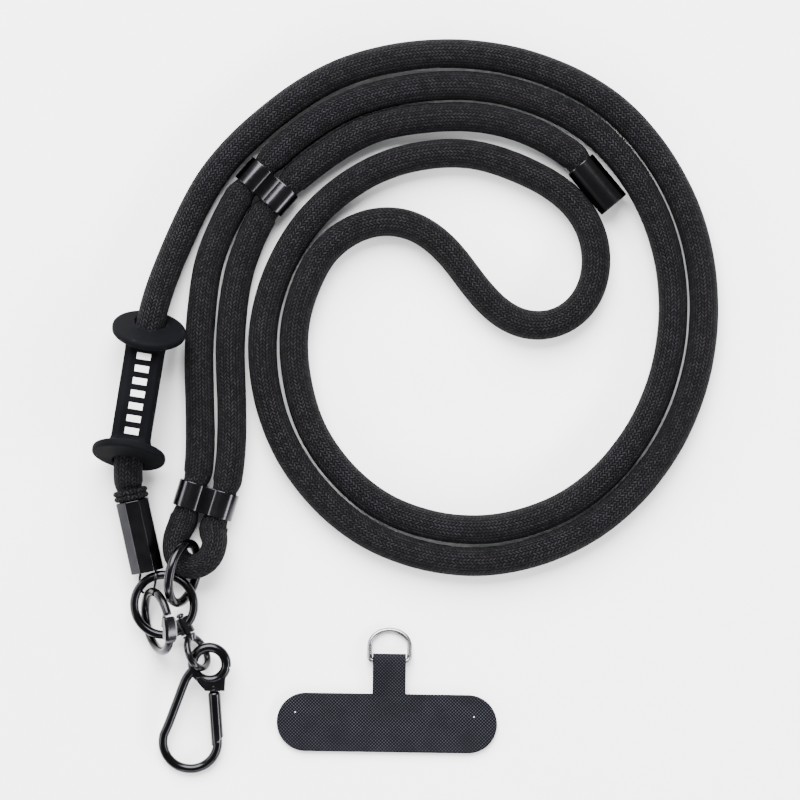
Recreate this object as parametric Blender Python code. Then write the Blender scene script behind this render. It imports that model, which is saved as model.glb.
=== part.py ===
"""Phone crossbody strap: a round braided cord in nested loops, its metal ends and sliders, a rubber tag,
a ring chain with a snap and a carabiner, and the woven phone tab with its D-ring.

Metres, +Z up. The strap lies on the plane z = 0 with the middle of its outline at the origin."""

import math

import bmesh
import bpy
from mathutils import Matrix, Vector

# Step from the hand-laid route to a box centred on the origin
TO_MIDDLE = Vector((-0.000176, 0.000171, 0.0))

# Clearance between neighbouring pieces, and the sides of round stock
GAP = 0.0003
SIDES_OF_WIRE = 8
SIDES_OF_BARREL = 24

# Cord: its thickness where it is free, in a slider's barrel, in its small end loop and in its two ends
CORD_DIAMETER = 0.0088
CORD_IN_BARREL = 0.0074
CORD_IN_LOOP = 0.0076
CORD_IN_END = 0.0078
CORD_BEVEL_RESOLUTION = 4
CORD_TAPER = 0.0030
LONGEST_STEP = 3.0 * CORD_DIAMETER

# Nested loops of the cord: distance from their centre, every 30 degrees clockwise from 150 degrees
LOOPS_CENTRE = Vector((0.0225, 0.0230, 0.0))
RAY_STEP = math.radians(-30)
OUTER_TURN_START = math.radians(150)
OUTER_TURN = (
    0.0923, 0.0877, 0.0822, 0.0778, 0.0713, 0.0668, 0.0659, 0.0677,
    0.0696, 0.0699, 0.0680, 0.0651, 0.0612, 0.0569, 0.0522, 0.0481,
)
INNER_TURN_START = math.radians(180)
INNER_TURN = (0.0558, 0.0587, 0.0606, 0.0600, 0.0584, 0.0566, 0.0575, 0.0620, 0.0685, 0.0728, 0.0779)
INNER_TURN_RAY_STEP = math.radians(30)
LAST_TURN_START = math.radians(120)
LAST_TURN = (0.0688, 0.0635)

# The cord's free stretches between those turns, as x, y points
S_BEND = (
    (0.0547, 0.0552), (0.0576, 0.0448), (0.0549, 0.0325), (0.0471, 0.0252), (0.0375, 0.0238),
    (0.0291, 0.0273), (0.0210, 0.0357), (0.0126, 0.0470), (0.0018, 0.0546), (-0.0105, 0.0552),
    (-0.0231, 0.0479), (-0.0295, 0.0369),
)
LEFT_LEG = ((-0.0585, 0.0445), (-0.0605, 0.0320), (-0.0617, 0.0170), (-0.0614, 0.0020), (-0.0612, -0.0130))
RIGHT_LEG = ((-0.0519, -0.0130), (-0.0518, 0.0020), (-0.0524, 0.0170), (-0.0512, 0.0320), (-0.0492, 0.0424))
TO_TAIL = ((0.0383, 0.0822),)

# Small end loop below the lower slider, as x, y, height of the cord's middle
END_LOOP = (
    (-0.0687, -0.0404, 0.0059), (-0.0679, -0.0452, 0.0070), (-0.0636, -0.0478, 0.0084),
    (-0.0591, -0.0459, 0.0085), (-0.0569, -0.0412, 0.0071),
)

# Sliders: two barrels side by side
BARREL_WALL = 0.0007
BARREL_BORE = CORD_IN_BARREL + 2 * GAP
BARREL_DIAMETER = BARREL_BORE + 2 * BARREL_WALL
BARREL_SPACING = 0.0091
SLIDER_LENGTH = 0.0080
SLIDER_CHAMFER = 0.0004
UPPER_SLIDER_CENTRE = Vector((-0.04125, 0.06565, BARREL_DIAMETER / 2))
UPPER_SLIDER_ANGLE = math.radians(-41.4)
LOWER_SLIDER_CENTRE = Vector((-0.05957, -0.02795, BARREL_DIAMETER / 2))
LOWER_SLIDER_ANGLE = math.radians(-17.2)

# Plain cap on the cord's tail
TAIL_WALL = 0.00065
TAIL_BORE = CORD_IN_END + 2 * GAP
TAIL_DIAMETER = TAIL_BORE + 2 * TAIL_WALL
TAIL_LENGTH = 0.0158
TAIL_END_WALL = 0.0020
TAIL_CHAMFER = 0.0005
TAIL_MOUTH = Vector((0.0524, 0.0724, TAIL_DIAMETER / 2))
TAIL_ANGLE = math.radians(-50)
TAIL_DEPTH = 0.0100

# Eight-sided end cap
END_CAP_FLATS = 0.0098
END_CAP_SIDES = 8
END_CAP_LENGTH = 0.0217
END_CAP_BORE = CORD_IN_END + 2 * GAP
END_CAP_BORE_DEPTH = 0.0110
END_CAP_MOUTH = Vector((-0.08155, -0.0281, 0.0057))
END_CAP_ANGLE = math.radians(-77.7)
END_CAP_TIP = math.radians(2)
CORD_IN_END_CAP = 0.0060

# Bunched braid at that cap's mouth
FOLDS_WALL = 0.0004
FOLD_HEIGHT = 0.0006
FOLD_WIDTH = 0.0016
FOLD_COUNT = 2

# Rubber tag: a strip over the cord between two pierced discs
TAG_LOWER_DISC = Vector((-0.0823, -0.01425, 0.0))
TAG_UPPER_DISC = Vector((-0.0763, 0.02265, 0.0))
TAG_CORD_HEIGHT = 0.0078
TAG_CORD_STRAIGHT = 0.0050
TAG_DISC_DIAMETER = 0.0222
TAG_DISC_THICKNESS = 0.0025
TAG_DISC_ROUNDING = 0.0008
TAG_LOWER_LEAN = math.radians(20)
TAG_UPPER_LEAN = math.radians(28)
TAG_BORE = CORD_DIAMETER + 2 * GAP
TAG_STRIP_WIDTH = 0.0120
TAG_STRIP_TOP_WIDTH = 0.0084
TAG_STRIP_THICKNESS = 0.0026
TAG_STRIP_CROWN = 0.0006
TAG_STRIP_STATIONS = 7

# Chain of rings: round wire
MAIN_RING_DIAMETER = 0.0206
MAIN_RING_WIRE = 0.0026
MAIN_RING_CENTRE = Vector((-0.0720, -0.05925, 0.0063))
MAIN_RING_SLOPE = (0.10, 0.055)
LINK_RING_DIAMETER = 0.0208
LINK_RING_WIRE = 0.0028
LINK_RING_TOP = Vector((-0.06405, -0.04035, 0.0))
LINK_RING_BOTTOM = Vector((-0.0682, -0.0590, 0.0))
LINK_RING_SLOPE = math.radians(66)
RING_STATIONS = 32

# Wire bail in the end cap
BAIL_WIRE = 0.00075
BAIL_HALF_WIDTH = 0.0039
BAIL_TURN = math.radians(50)
BAIL_IN_CAP = 0.0020
BAIL_BEND = (
    (-0.0795, -0.0520, 0.0026), (-0.0793, -0.0538, 0.0028), (-0.0787, -0.0554, 0.0029),
    (-0.0777, -0.0562, 0.0030), (-0.0766, -0.0562, 0.0033), (-0.0757, -0.0556, 0.0042),
    (-0.0750, -0.0543, 0.0058), (-0.0746, -0.0528, 0.0076), (-0.0744, -0.0516, 0.0087),
    (-0.0743, -0.0503, 0.0090),
)

# Round snap with a sprung gate, standing on its low side
SNAP_DIAMETER = 0.02054
SNAP_WIRE = 0.00254
SNAP_CENTRE = Vector((-0.0738, -0.06405, 0.00945))
SNAP_AXIS_ANGLE = math.radians(-79.5)
SNAP_SLOPE = math.radians(65)
SNAP_BLOCK_FROM = math.radians(48)
SNAP_BLOCK_TO = math.radians(96)
SNAP_BLOCK_SIZE = (0.0038, 0.0034)
SNAP_GATE_FROM = math.radians(99)
SNAP_GATE_TO = math.radians(158)
SNAP_GATE_TIP_GAP = math.radians(3.5)
SNAP_GATE_PIVOT = math.radians(102)
SNAP_LEVER_WIRE = 0.0011

# Swivel in the main ring's boss
SWIVEL_ANGLE = math.radians(-65)
SWIVEL_CENTRE = Vector((-0.0659, -0.0655, 0.0058))
BOSS_DIAMETER = 0.0046
BOSS_INNER = 0.0026
BOSS_OUTER = 0.0026
BORE_REACH = 0.0050
POST_DIAMETER = 0.0017
RIVET_DIAMETER = 0.0025
RIVET_LENGTH = 0.0010
EYE_COLLAR_DIAMETER = 0.0040
EYE_COLLAR_LENGTH = 0.0020
EYE_LENGTH = 0.0098
EYE_WIDTH = 0.0096
EYE_WIRE = 0.0021
EYE_START = 0.0039
EYE_TILT = math.radians(62)

# Carabiner
CARABINER_WIRE = 0.00276
CARABINER_TILT = math.radians(8)
CARABINER_BEND_CENTRE = (-0.0643, -0.10035)
CARABINER_BEND_RADIUS = 0.0082
CARABINER_LEG = ((-0.0709, -0.0952), (-0.0679, -0.0873), (-0.0654, -0.0810))
CARABINER_EYE_CENTRE = (-0.05845, -0.0766)
CARABINER_EYE_RADIUS = 0.0050
CARABINER_EYE_WIRE = 0.0030
CARABINER_SLIT = 0.0005
CARABINER_SLIT_ANGLE = math.radians(-11)
CARABINER_NOSE = (-0.0562, -0.0984)
CARABINER_PIVOT = (-0.0572, -0.08365)
HINGE_BLOCK = (
    (-0.0539, -0.08465), (-0.0536, -0.0808), (-0.0552, -0.0806), (-0.0570, -0.0814), (-0.0595, -0.0813),
    (-0.0612, -0.0802), (-0.0625, -0.0805), (-0.0620, -0.0820), (-0.0610, -0.0832), (-0.0603, -0.0840),
    (-0.0597, -0.08465),
)
HINGE_BLOCK_THICKNESS = 0.0034
HINGE_SLOT = (-0.0593, -0.0556, -0.08215)
TONGUE_THICKNESS = 0.0011
TONGUE_WIDTH = 0.0024
GATE_DIAMETER = 0.0037
GATE_SHOULDER = (0.00135, 0.00210)
GATE_AXIS_END = (-0.05615, -0.1006)
GATE_CUT_MIDDLE = (-0.0566, -0.1006)
GATE_CUT_ANGLE = math.radians(39.5)
GATE_PIN_DIAMETER = 0.0011

# Woven phone tab with its D-ring
TAB_CENTRE = Vector((-0.00545, -0.0949, 0.0))
TAB_ANGLE = math.radians(-0.87)
TAB_LENGTH = 0.0661
TAB_WIDTH = 0.0175
TAB_THICKNESS = 0.0018
TAB_EDGE = 0.0005
TAB_ROUND_STEPS = 12
NECK_OFFSET = 0.0005
NECK_WIDTH = 0.0099
NECK_CLOTH = 0.0011
NECK_START = 0.0080
D_RING_WIRE = 0.00145
D_RING_WIDTH = 0.0134
D_RING_BAR_FROM_TAB = 0.01875
D_RING_REACH = 0.00923
D_RING_STRAIGHT = 0.0046
D_RING_BAR_HEIGHT = NECK_CLOTH + GAP + D_RING_WIRE / 2

BLACK_NICKEL = ("black_nickel", (0.045, 0.045, 0.050), 0.18, 1.0)
BRIGHT_NICKEL = ("gunmetal", (0.42, 0.42, 0.43), 0.22, 1.0)
BRAID = ("braided_polyester", (0.017, 0.016, 0.019), 0.80, 0.0)
RUBBER = ("silicone_rubber", (0.022, 0.023, 0.027), 0.55, 0.0)
WEAVE = ("woven_patch", (0.010, 0.011, 0.018), 0.75, 0.0)


def clear_scene():
    for obj in list(bpy.data.objects):
        bpy.data.objects.remove(obj)


def centre_outline():
    """Moves every piece by the small step that brings the middle of the whole outline to the origin."""
    for obj in bpy.data.objects:
        obj.location += TO_MIDDLE


def finish_material(finish):
    """The Principled material of a finish: name, colour, roughness, metallic."""
    name, colour, roughness, metallic = finish
    made = bpy.data.materials.get(name)
    if made:
        return made
    made = bpy.data.materials.new(name)
    made.use_nodes = True
    shader = made.node_tree.nodes["Principled BSDF"]
    shader.inputs["Base Color"].default_value = (*colour, 1.0)
    shader.inputs["Roughness"].default_value = roughness
    shader.inputs["Metallic"].default_value = metallic
    made.diffuse_color = (*colour, 1.0)
    return made


def mesh_object(name, bm, finish=None, hidden=False):
    """A new object of a bmesh with its faces turned outward; a hidden one is a helper for a Boolean."""
    bmesh.ops.recalc_face_normals(bm, faces=bm.faces)
    mesh = bpy.data.meshes.new(name)
    bm.to_mesh(mesh)
    bm.free()
    mesh.shade_smooth()
    mesh.set_sharp_from_angle(angle=math.radians(35))
    obj = bpy.data.objects.new(name, mesh)
    bpy.context.scene.collection.objects.link(obj)
    if finish:
        mesh.materials.append(finish_material(finish))
    if hidden:
        obj.hide_render = True
        obj.display_type = "WIRE"
    return obj


def combine(obj, other, operation):
    """Adds a Boolean of a helper object to obj."""
    step = obj.modifiers.new(f"{operation.lower()}_{other.name}", "BOOLEAN")
    step.operation = operation
    step.object = other
    return obj


def heading(angle):
    """Unit vector in the ground plane at an angle from +X."""
    return Vector((math.cos(angle), math.sin(angle), 0.0))


def placed(origin, along, up=Vector((0, 0, 1))):
    """Matrix whose local X runs along a direction, with local Z as near to up as it can be."""
    x = along.normalized()
    y = up.cross(x).normalized()
    z = x.cross(y)
    return Matrix.Translation(origin) @ Matrix((x, y, z)).transposed().to_4x4()


def add_sweep(bm, points, radii, sides=SIDES_OF_WIRE, closed=False, first_facing=None, last_facing=None):
    """A round bar through points, with a radius at each; its end faces may be turned to face a direction."""
    count = len(points)
    tangents = []
    for i in range(count):
        before = points[(i - 1) % count] if closed or i else points[i]
        after = points[(i + 1) % count] if closed or i < count - 1 else points[i]
        tangents.append((after - before).normalized())
    tangents[0] = first_facing or tangents[0]
    tangents[-1] = last_facing or tangents[-1]
    side = tangents[0].cross(Vector((0, 0, 1)))
    if side.length < 0.1:
        side = tangents[0].cross(Vector((0, 1, 0)))
    side.normalize()
    rings = []
    for point, tangent, radius in zip(points, tangents, radii):
        side = (side - tangent * side.dot(tangent)).normalized()
        other = tangent.cross(side)
        rings.append([
            bm.verts.new(point + radius * (math.cos(turn) * side + math.sin(turn) * other))
            for turn in (2 * math.pi * (k + 0.5) / sides for k in range(sides))
        ])
    pairs = list(zip(rings, rings[1:]))
    if closed:
        pairs.append((rings[-1], rings[0]))
    for one, two in pairs:
        shift = nearest_shift(one, two) if closed and two is rings[0] else 0
        for k in range(sides):
            n = (k + 1) % sides
            bm.faces.new((one[k], one[n], two[(n + shift) % sides], two[(k + shift) % sides]))
    if not closed:
        bm.faces.new(rings[0])
        bm.faces.new(rings[-1])
    return rings


def nearest_shift(one, two):
    """How many places to turn ring two so that its corners face those of ring one."""
    sides = len(one)
    return min(range(sides), key=lambda s: sum((one[k].co - two[(k + s) % sides].co).length for k in range(sides)))


def add_turned(bm, profile, matrix, sides=SIDES_OF_BARREL):
    """A body turned round local X from rows of (x, radius) that make a closed outline; radius 0 is on the axis."""
    rings = []
    for x, radius in profile:
        if radius == 0:
            rings.append([bm.verts.new(matrix @ Vector((x, 0, 0)))])
            continue
        rings.append([
            bm.verts.new(matrix @ Vector((x, radius * math.cos(turn), radius * math.sin(turn))))
            for turn in (2 * math.pi * (k + 0.5) / sides for k in range(sides))
        ])
    for one, two in zip(rings, rings[1:] + rings[:1]):
        if len(one) == 1 and len(two) == 1:
            continue
        for k in range(sides):
            n = (k + 1) % sides
            if len(one) == 1:
                bm.faces.new((one[0], two[k], two[n]))
            elif len(two) == 1:
                bm.faces.new((one[k], one[n], two[0]))
            else:
                bm.faces.new((one[k], one[n], two[n], two[k]))


def add_bar(bm, length, radius, matrix, sides=SIDES_OF_BARREL, start=0.0):
    """A plain round bar from start to length along local X."""
    add_turned(bm, ((start, 0), (start, radius), (length, radius), (length, 0)), matrix, sides)


def add_prism(bm, outline, low, high, matrix):
    """An outline of local x, y points pulled up from local z low to high."""
    below = [bm.verts.new(matrix @ Vector((x, y, low))) for x, y in outline]
    above = [bm.verts.new(matrix @ Vector((x, y, high))) for x, y in outline]
    bm.faces.new(below)
    bm.faces.new(above)
    for k in range(len(outline)):
        n = (k + 1) % len(outline)
        bm.faces.new((below[k], below[n], above[n], above[k]))


def smooth_between(a, b, c, d, share):
    """Point at a share of the way from b to c on the centripetal spline through four points."""
    knots = [0.0]
    for one, two in ((a, b), (b, c), (c, d)):
        knots.append(knots[-1] + math.sqrt((two - one).length))
    t0, t1, t2, t3 = knots
    t = t1 + share * (t2 - t1)
    a1 = a.lerp(b, (t - t0) / (t1 - t0))
    a2 = b.lerp(c, (t - t1) / (t2 - t1))
    a3 = c.lerp(d, (t - t2) / (t3 - t2))
    b1 = a1.lerp(a2, (t - t0) / (t2 - t0))
    b2 = a2.lerp(a3, (t - t1) / (t3 - t1))
    return b1.lerp(b2, (t - t1) / (t2 - t1))


def read_spline(rows, longest):
    """Rows of (point, radius) with more read from a smooth curve wherever two are further apart than longest."""
    points = [point for point, _ in rows]
    ends = [2 * points[0] - points[1], *points, 2 * points[-1] - points[-2]]
    read = []
    for i in range(len(points) - 1):
        parts = max(1, math.ceil((points[i + 1] - points[i]).length / longest))
        for part in range(parts):
            share = part / parts
            radius = rows[i][1] + share * (rows[i + 1][1] - rows[i][1])
            point = smooth_between(*ends[i:i + 4], share)
            point.z = max(point.z, radius)
            read.append((point, radius))
    return [*read, rows[-1]]


def turn_rows(start, step, distances):
    """Rows of one turn round the loops' centre."""
    height = Vector((0, 0, CORD_DIAMETER / 2))
    return [
        (LOOPS_CENTRE + distance * heading(start + i * step) + height, CORD_DIAMETER / 2)
        for i, distance in enumerate(distances)
    ]


def flat_rows(places):
    """Rows of a free stretch that lies on the ground."""
    return [(Vector((x, y, CORD_DIAMETER / 2)), CORD_DIAMETER / 2) for x, y in places]


def barrel_centre(slider_centre, slider_angle, side):
    """Middle of a slider's barrel: side is -1 for the left one and 1 for the right one."""
    return slider_centre + side * BARREL_SPACING / 2 * heading(slider_angle)


def barrel_rows(slider_centre, slider_angle, side, travel):
    """Rows of the cord through a barrel, drawn in where it is held; travel is 1 upward and -1 downward."""
    middle = barrel_centre(slider_centre, slider_angle, side)
    along = travel * heading(slider_angle + math.pi / 2)
    held = SLIDER_LENGTH / 2 + 2 * GAP
    free = held + CORD_TAPER
    lift = Vector((0, 0, CORD_DIAMETER / 2 - middle.z))
    return [
        (middle - free * along + lift, CORD_DIAMETER / 2),
        (middle - held * along, CORD_IN_BARREL / 2),
        (middle + held * along, CORD_IN_BARREL / 2),
        (middle + free * along + lift, CORD_DIAMETER / 2),
    ]


def first_rows():
    """Rows from inside the eight-sided cap, up through the rubber tag and down to the ground."""
    into_cap = end_cap_along()
    tag_along = (TAG_UPPER_DISC - TAG_LOWER_DISC).normalized()
    raised = Vector((0, 0, TAG_CORD_HEIGHT))
    straight = TAG_CORD_STRAIGHT * tag_along
    radius = CORD_DIAMETER / 2
    folds = GAP + FOLD_COUNT * FOLD_WIDTH
    return [
        (END_CAP_MOUTH + CORD_IN_END_CAP * into_cap, CORD_IN_END / 2),
        (END_CAP_MOUTH - (folds + GAP) * into_cap, CORD_IN_END / 2),
        (END_CAP_MOUTH - (folds + 0.8 * CORD_TAPER) * into_cap, radius),
        (TAG_LOWER_DISC - straight + raised, radius),
        (TAG_LOWER_DISC + raised, radius),
        (TAG_LOWER_DISC.lerp(TAG_UPPER_DISC, 0.5) + raised, radius),
        (TAG_UPPER_DISC + raised, radius),
        (TAG_UPPER_DISC + straight + raised, radius),
        (Vector((-0.0733, 0.0352, 0.0060)), radius),
        (Vector((-0.0685, 0.0475, radius)), radius),
    ]


def last_rows():
    """Rows into the plain cap on the tail."""
    along = heading(TAIL_ANGLE)
    return [
        (TAIL_MOUTH - 1.2 * CORD_TAPER * along, CORD_DIAMETER / 2),
        (TAIL_MOUTH - 0.2 * CORD_TAPER * along, CORD_IN_END / 2),
        (TAIL_MOUTH + TAIL_DEPTH * along, CORD_IN_END / 2),
    ]


def cord_rows():
    """The whole route of the cord, from the eight-sided cap to the plain one."""
    upper = (UPPER_SLIDER_CENTRE, UPPER_SLIDER_ANGLE)
    lower = (LOWER_SLIDER_CENTRE, LOWER_SLIDER_ANGLE)
    return [
        *first_rows(),
        *turn_rows(OUTER_TURN_START, RAY_STEP, OUTER_TURN),
        *flat_rows(S_BEND),
        *turn_rows(INNER_TURN_START, INNER_TURN_RAY_STEP, INNER_TURN),
        *barrel_rows(*upper, -1, -1),
        *flat_rows(LEFT_LEG),
        *barrel_rows(*lower, -1, -1),
        *((Vector(place), CORD_IN_LOOP / 2) for place in END_LOOP),
        *barrel_rows(*lower, 1, 1),
        *flat_rows(RIGHT_LEG),
        *barrel_rows(*upper, 1, 1),
        *turn_rows(LAST_TURN_START, RAY_STEP, LAST_TURN),
        *flat_rows(TO_TAIL),
        *last_rows(),
    ]


def make_rope():
    """The cord as a bevelled curve; its bevel is one metre wide at radius one."""
    rows = read_spline(cord_rows(), LONGEST_STEP)
    curve = bpy.data.curves.new("rope", "CURVE")
    curve.dimensions = "3D"
    curve.resolution_u = 1
    curve.bevel_depth = CORD_DIAMETER / 2
    curve.bevel_resolution = CORD_BEVEL_RESOLUTION
    curve.use_fill_caps = True
    spline = curve.splines.new("POLY")
    spline.points.add(len(rows) - 1)
    for spot, (point, radius) in zip(spline.points, rows):
        spot.co = (*point, 1.0)
        spot.radius = radius / (CORD_DIAMETER / 2)
    curve.materials.append(finish_material(BRAID))
    rope = bpy.data.objects.new("rope", curve)
    bpy.context.scene.collection.objects.link(rope)


def make_slider(name, centre, angle):
    """Two short barrels side by side, soldered into one, with both bores open."""
    length = SLIDER_LENGTH
    radius = BARREL_DIAMETER / 2
    profile = (
        (-length / 2, 0),
        (-length / 2, radius - SLIDER_CHAMFER),
        (-length / 2 + SLIDER_CHAMFER, radius),
        (length / 2 - SLIDER_CHAMFER, radius),
        (length / 2, radius - SLIDER_CHAMFER),
        (length / 2, 0),
    )
    places = [
        placed(barrel_centre(centre, angle, side), heading(angle + math.pi / 2)) for side in (-1, 1)
    ]
    left = bmesh.new()
    add_turned(left, profile, places[0])
    right = bmesh.new()
    add_turned(right, profile, places[1])
    web = bmesh.new()
    half_web = BARREL_SPACING / 2
    rise = radius * 0.55
    add_prism(
        web,
        ((-length / 2 + SLIDER_CHAMFER, -half_web), (length / 2 - SLIDER_CHAMFER, -half_web),
         (length / 2 - SLIDER_CHAMFER, half_web), (-length / 2 + SLIDER_CHAMFER, half_web)),
        -rise, rise, placed(centre, heading(angle + math.pi / 2)),
    )
    bores = bmesh.new()
    for place in places:
        add_bar(bores, length, BARREL_BORE / 2, place, start=-length)
    slider = mesh_object(name, left, BLACK_NICKEL)
    combine(slider, mesh_object(f"{name}_other_barrel", right, hidden=True), "UNION")
    combine(slider, mesh_object(f"{name}_web", web, hidden=True), "UNION")
    combine(slider, mesh_object(f"{name}_bores", bores, hidden=True), "DIFFERENCE")


def make_tail_cap():
    """A turned cup over the cord's tail."""
    outer = TAIL_DIAMETER / 2
    bore = TAIL_BORE / 2
    bm = bmesh.new()
    add_turned(
        bm,
        (
            (TAIL_LENGTH - TAIL_END_WALL, 0),
            (TAIL_LENGTH - TAIL_END_WALL, bore),
            (0, bore),
            (0, outer - TAIL_CHAMFER / 2),
            (TAIL_CHAMFER / 2, outer),
            (TAIL_LENGTH - TAIL_CHAMFER, outer),
            (TAIL_LENGTH, outer - TAIL_CHAMFER),
            (TAIL_LENGTH, 0),
        ),
        placed(TAIL_MOUTH, heading(TAIL_ANGLE)),
    )
    mesh_object("tail_cap", bm, BLACK_NICKEL)


def end_cap_along():
    """Direction from the cap's mouth to its closed end, tipped a little down."""
    return heading(END_CAP_ANGLE) * math.cos(END_CAP_TIP) - Vector((0, 0, math.sin(END_CAP_TIP)))


def make_end_cap():
    """The eight-sided cap: a prism with a bore for the cord and two holes for the bail."""
    place = placed(END_CAP_MOUTH, end_cap_along())
    corner = END_CAP_FLATS / 2 / math.cos(math.pi / END_CAP_SIDES)
    bm = bmesh.new()
    add_turned(
        bm,
        ((0, 0), (0, corner), (END_CAP_LENGTH, corner), (END_CAP_LENGTH, 0)),
        place,
        END_CAP_SIDES,
    )
    cap = mesh_object("end_cap", bm, BLACK_NICKEL)
    bore = bmesh.new()
    add_bar(bore, END_CAP_BORE_DEPTH, END_CAP_BORE / 2, place, start=-END_CAP_LENGTH)
    combine(cap, mesh_object("end_cap_bore", bore, hidden=True), "DIFFERENCE")
    holes = bmesh.new()
    for side in (-1, 1):
        add_bar(
            holes,
            2 * BAIL_IN_CAP + GAP,
            BAIL_WIRE / 2 + GAP,
            placed(bail_root(side, BAIL_IN_CAP + GAP), end_cap_along()),
            SIDES_OF_WIRE,
        )
    combine(cap, mesh_object("end_cap_bail_holes", holes, hidden=True), "DIFFERENCE")


def bail_root(side, depth):
    """Where a leg of the bail is at a depth inside the cap's closed end: side -1 is the low left leg."""
    along = end_cap_along()
    across = heading(END_CAP_ANGLE + math.pi / 2)
    out = math.cos(BAIL_TURN) * across + math.sin(BAIL_TURN) * across.cross(along) * -1
    return END_CAP_MOUTH + (END_CAP_LENGTH - depth) * along + side * BAIL_HALF_WIDTH * out


def make_cap_bail():
    """A thin wire loop whose two legs sit in the cap's closed end, with the main ring threaded through it."""
    points = [
        bail_root(-1, BAIL_IN_CAP),
        bail_root(-1, -GAP),
        *(Vector(place) for place in BAIL_BEND),
        bail_root(1, -GAP),
        bail_root(1, BAIL_IN_CAP),
    ]
    bm = bmesh.new()
    add_sweep(bm, points, [BAIL_WIRE / 2] * len(points))
    mesh_object("cap_bail", bm, BLACK_NICKEL)


def make_end_folds():
    """The braid pushed up in two rolls at the cap's mouth."""
    bore = CORD_IN_END / 2 + GAP
    base = bore + FOLDS_WALL
    rows = [(GAP, bore), (GAP, base)]
    for fold in range(FOLD_COUNT):
        start = GAP + fold * FOLD_WIDTH
        rows += [
            (start + FOLD_WIDTH * 0.25, base + 0.8 * FOLD_HEIGHT),
            (start + FOLD_WIDTH * 0.5, base + FOLD_HEIGHT),
            (start + FOLD_WIDTH * 0.75, base + 0.8 * FOLD_HEIGHT),
            (start + FOLD_WIDTH, base),
        ]
    rows.append((GAP + FOLD_COUNT * FOLD_WIDTH, bore + 0.5 * FOLDS_WALL))
    bm = bmesh.new()
    add_turned(bm, rows, placed(END_CAP_MOUTH, -end_cap_along()), 16)
    mesh_object("rope_end_folds", bm, BRAID)


def disc_frame(centre, lean, inward):
    """Frame of a tag disc: local X is its axis, tipped so that its top leans inward."""
    low_reach = TAG_DISC_DIAMETER / 2 * math.cos(lean) + TAG_DISC_THICKNESS / 2 * math.sin(lean)
    axis = inward * math.cos(lean) - Vector((0, 0, math.sin(lean)))
    return placed(centre + Vector((0, 0, low_reach)), axis)


def add_tag_disc(bm, frame):
    half = TAG_DISC_THICKNESS / 2
    radius = TAG_DISC_DIAMETER / 2
    edge = TAG_DISC_ROUNDING
    add_turned(
        bm,
        ((-half, 0), (-half, radius - edge), (-half + edge, radius), (half - edge, radius), (half, radius - edge), (half, 0)),
        frame,
        32,
    )


def make_tag():
    """The rubber tag: two leaning discs, the strip that bridges them over the cord, and the cord's two holes."""
    along = (TAG_UPPER_DISC - TAG_LOWER_DISC).normalized()
    span = (TAG_UPPER_DISC - TAG_LOWER_DISC).length
    lower_frame = disc_frame(TAG_LOWER_DISC, TAG_LOWER_LEAN, along)
    upper_frame = disc_frame(TAG_UPPER_DISC, TAG_UPPER_LEAN, -along)
    lower = bmesh.new()
    add_tag_disc(lower, lower_frame)
    upper = bmesh.new()
    add_tag_disc(upper, upper_frame)
    tag = mesh_object("rubber_tag", lower, RUBBER)
    combine(tag, mesh_object("rubber_tag_upper_disc", upper, hidden=True), "UNION")
    combine(tag, make_tag_strip(along, span, lower_frame, upper_frame), "UNION")
    holes = bmesh.new()
    reach = TAG_DISC_DIAMETER / 2
    add_bar(
        holes,
        span + reach,
        TAG_BORE / 2,
        placed(TAG_LOWER_DISC + Vector((0, 0, TAG_CORD_HEIGHT)), along),
        start=-reach,
    )
    combine(tag, mesh_object("rubber_tag_holes", holes, hidden=True), "DIFFERENCE")


def make_tag_strip(along, span, lower_frame, upper_frame):
    """The strip: six-cornered sections from one disc's middle plane to the other's, a little crowned."""
    bottom = TAG_CORD_HEIGHT + TAG_BORE / 2 + GAP
    across = Vector((0, 0, 1)).cross(along)
    starts = lean_shift(lower_frame, TAG_LOWER_LEAN, bottom)
    stops = span - lean_shift(upper_frame, TAG_UPPER_LEAN, bottom)
    bm = bmesh.new()
    sections = []
    for i in range(TAG_STRIP_STATIONS):
        share = i / (TAG_STRIP_STATIONS - 1)
        middle = TAG_LOWER_DISC + (starts + share * (stops - starts)) * along
        lift = TAG_STRIP_CROWN * math.sin(math.pi * share)
        low = bottom + lift
        high = low + TAG_STRIP_THICKNESS
        shoulder = low + 0.45 * TAG_STRIP_THICKNESS
        outline = (
            (-TAG_STRIP_WIDTH / 2, low), (TAG_STRIP_WIDTH / 2, low),
            (TAG_STRIP_WIDTH / 2, shoulder), (TAG_STRIP_TOP_WIDTH / 2, high),
            (-TAG_STRIP_TOP_WIDTH / 2, high), (-TAG_STRIP_WIDTH / 2, shoulder),
        )
        sections.append([bm.verts.new(middle + x * across + Vector((0, 0, z))) for x, z in outline])
    for one, two in zip(sections, sections[1:]):
        for k in range(6):
            n = (k + 1) % 6
            bm.faces.new((one[k], one[n], two[n], two[k]))
    bm.faces.new(sections[0])
    bm.faces.new(sections[-1])
    return mesh_object("rubber_tag_strip", bm, hidden=True)


def lean_shift(frame, lean, height):
    """How far inward a leaning disc's middle plane has come halfway up the strip."""
    return (height + TAG_STRIP_THICKNESS / 2 - frame.translation.z) * math.tan(lean)


def ring_points(centre, long_way, other_way, radius, start=0.0, stop=2 * math.pi, stations=RING_STATIONS, closed=True):
    """Points round a circle that is set by two unit directions in its plane."""
    count = stations if closed else stations + 1
    return [
        centre + radius * (math.cos(turn) * long_way + math.sin(turn) * other_way)
        for turn in (start + (stop - start) * k / stations for k in range(count))
    ]


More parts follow.
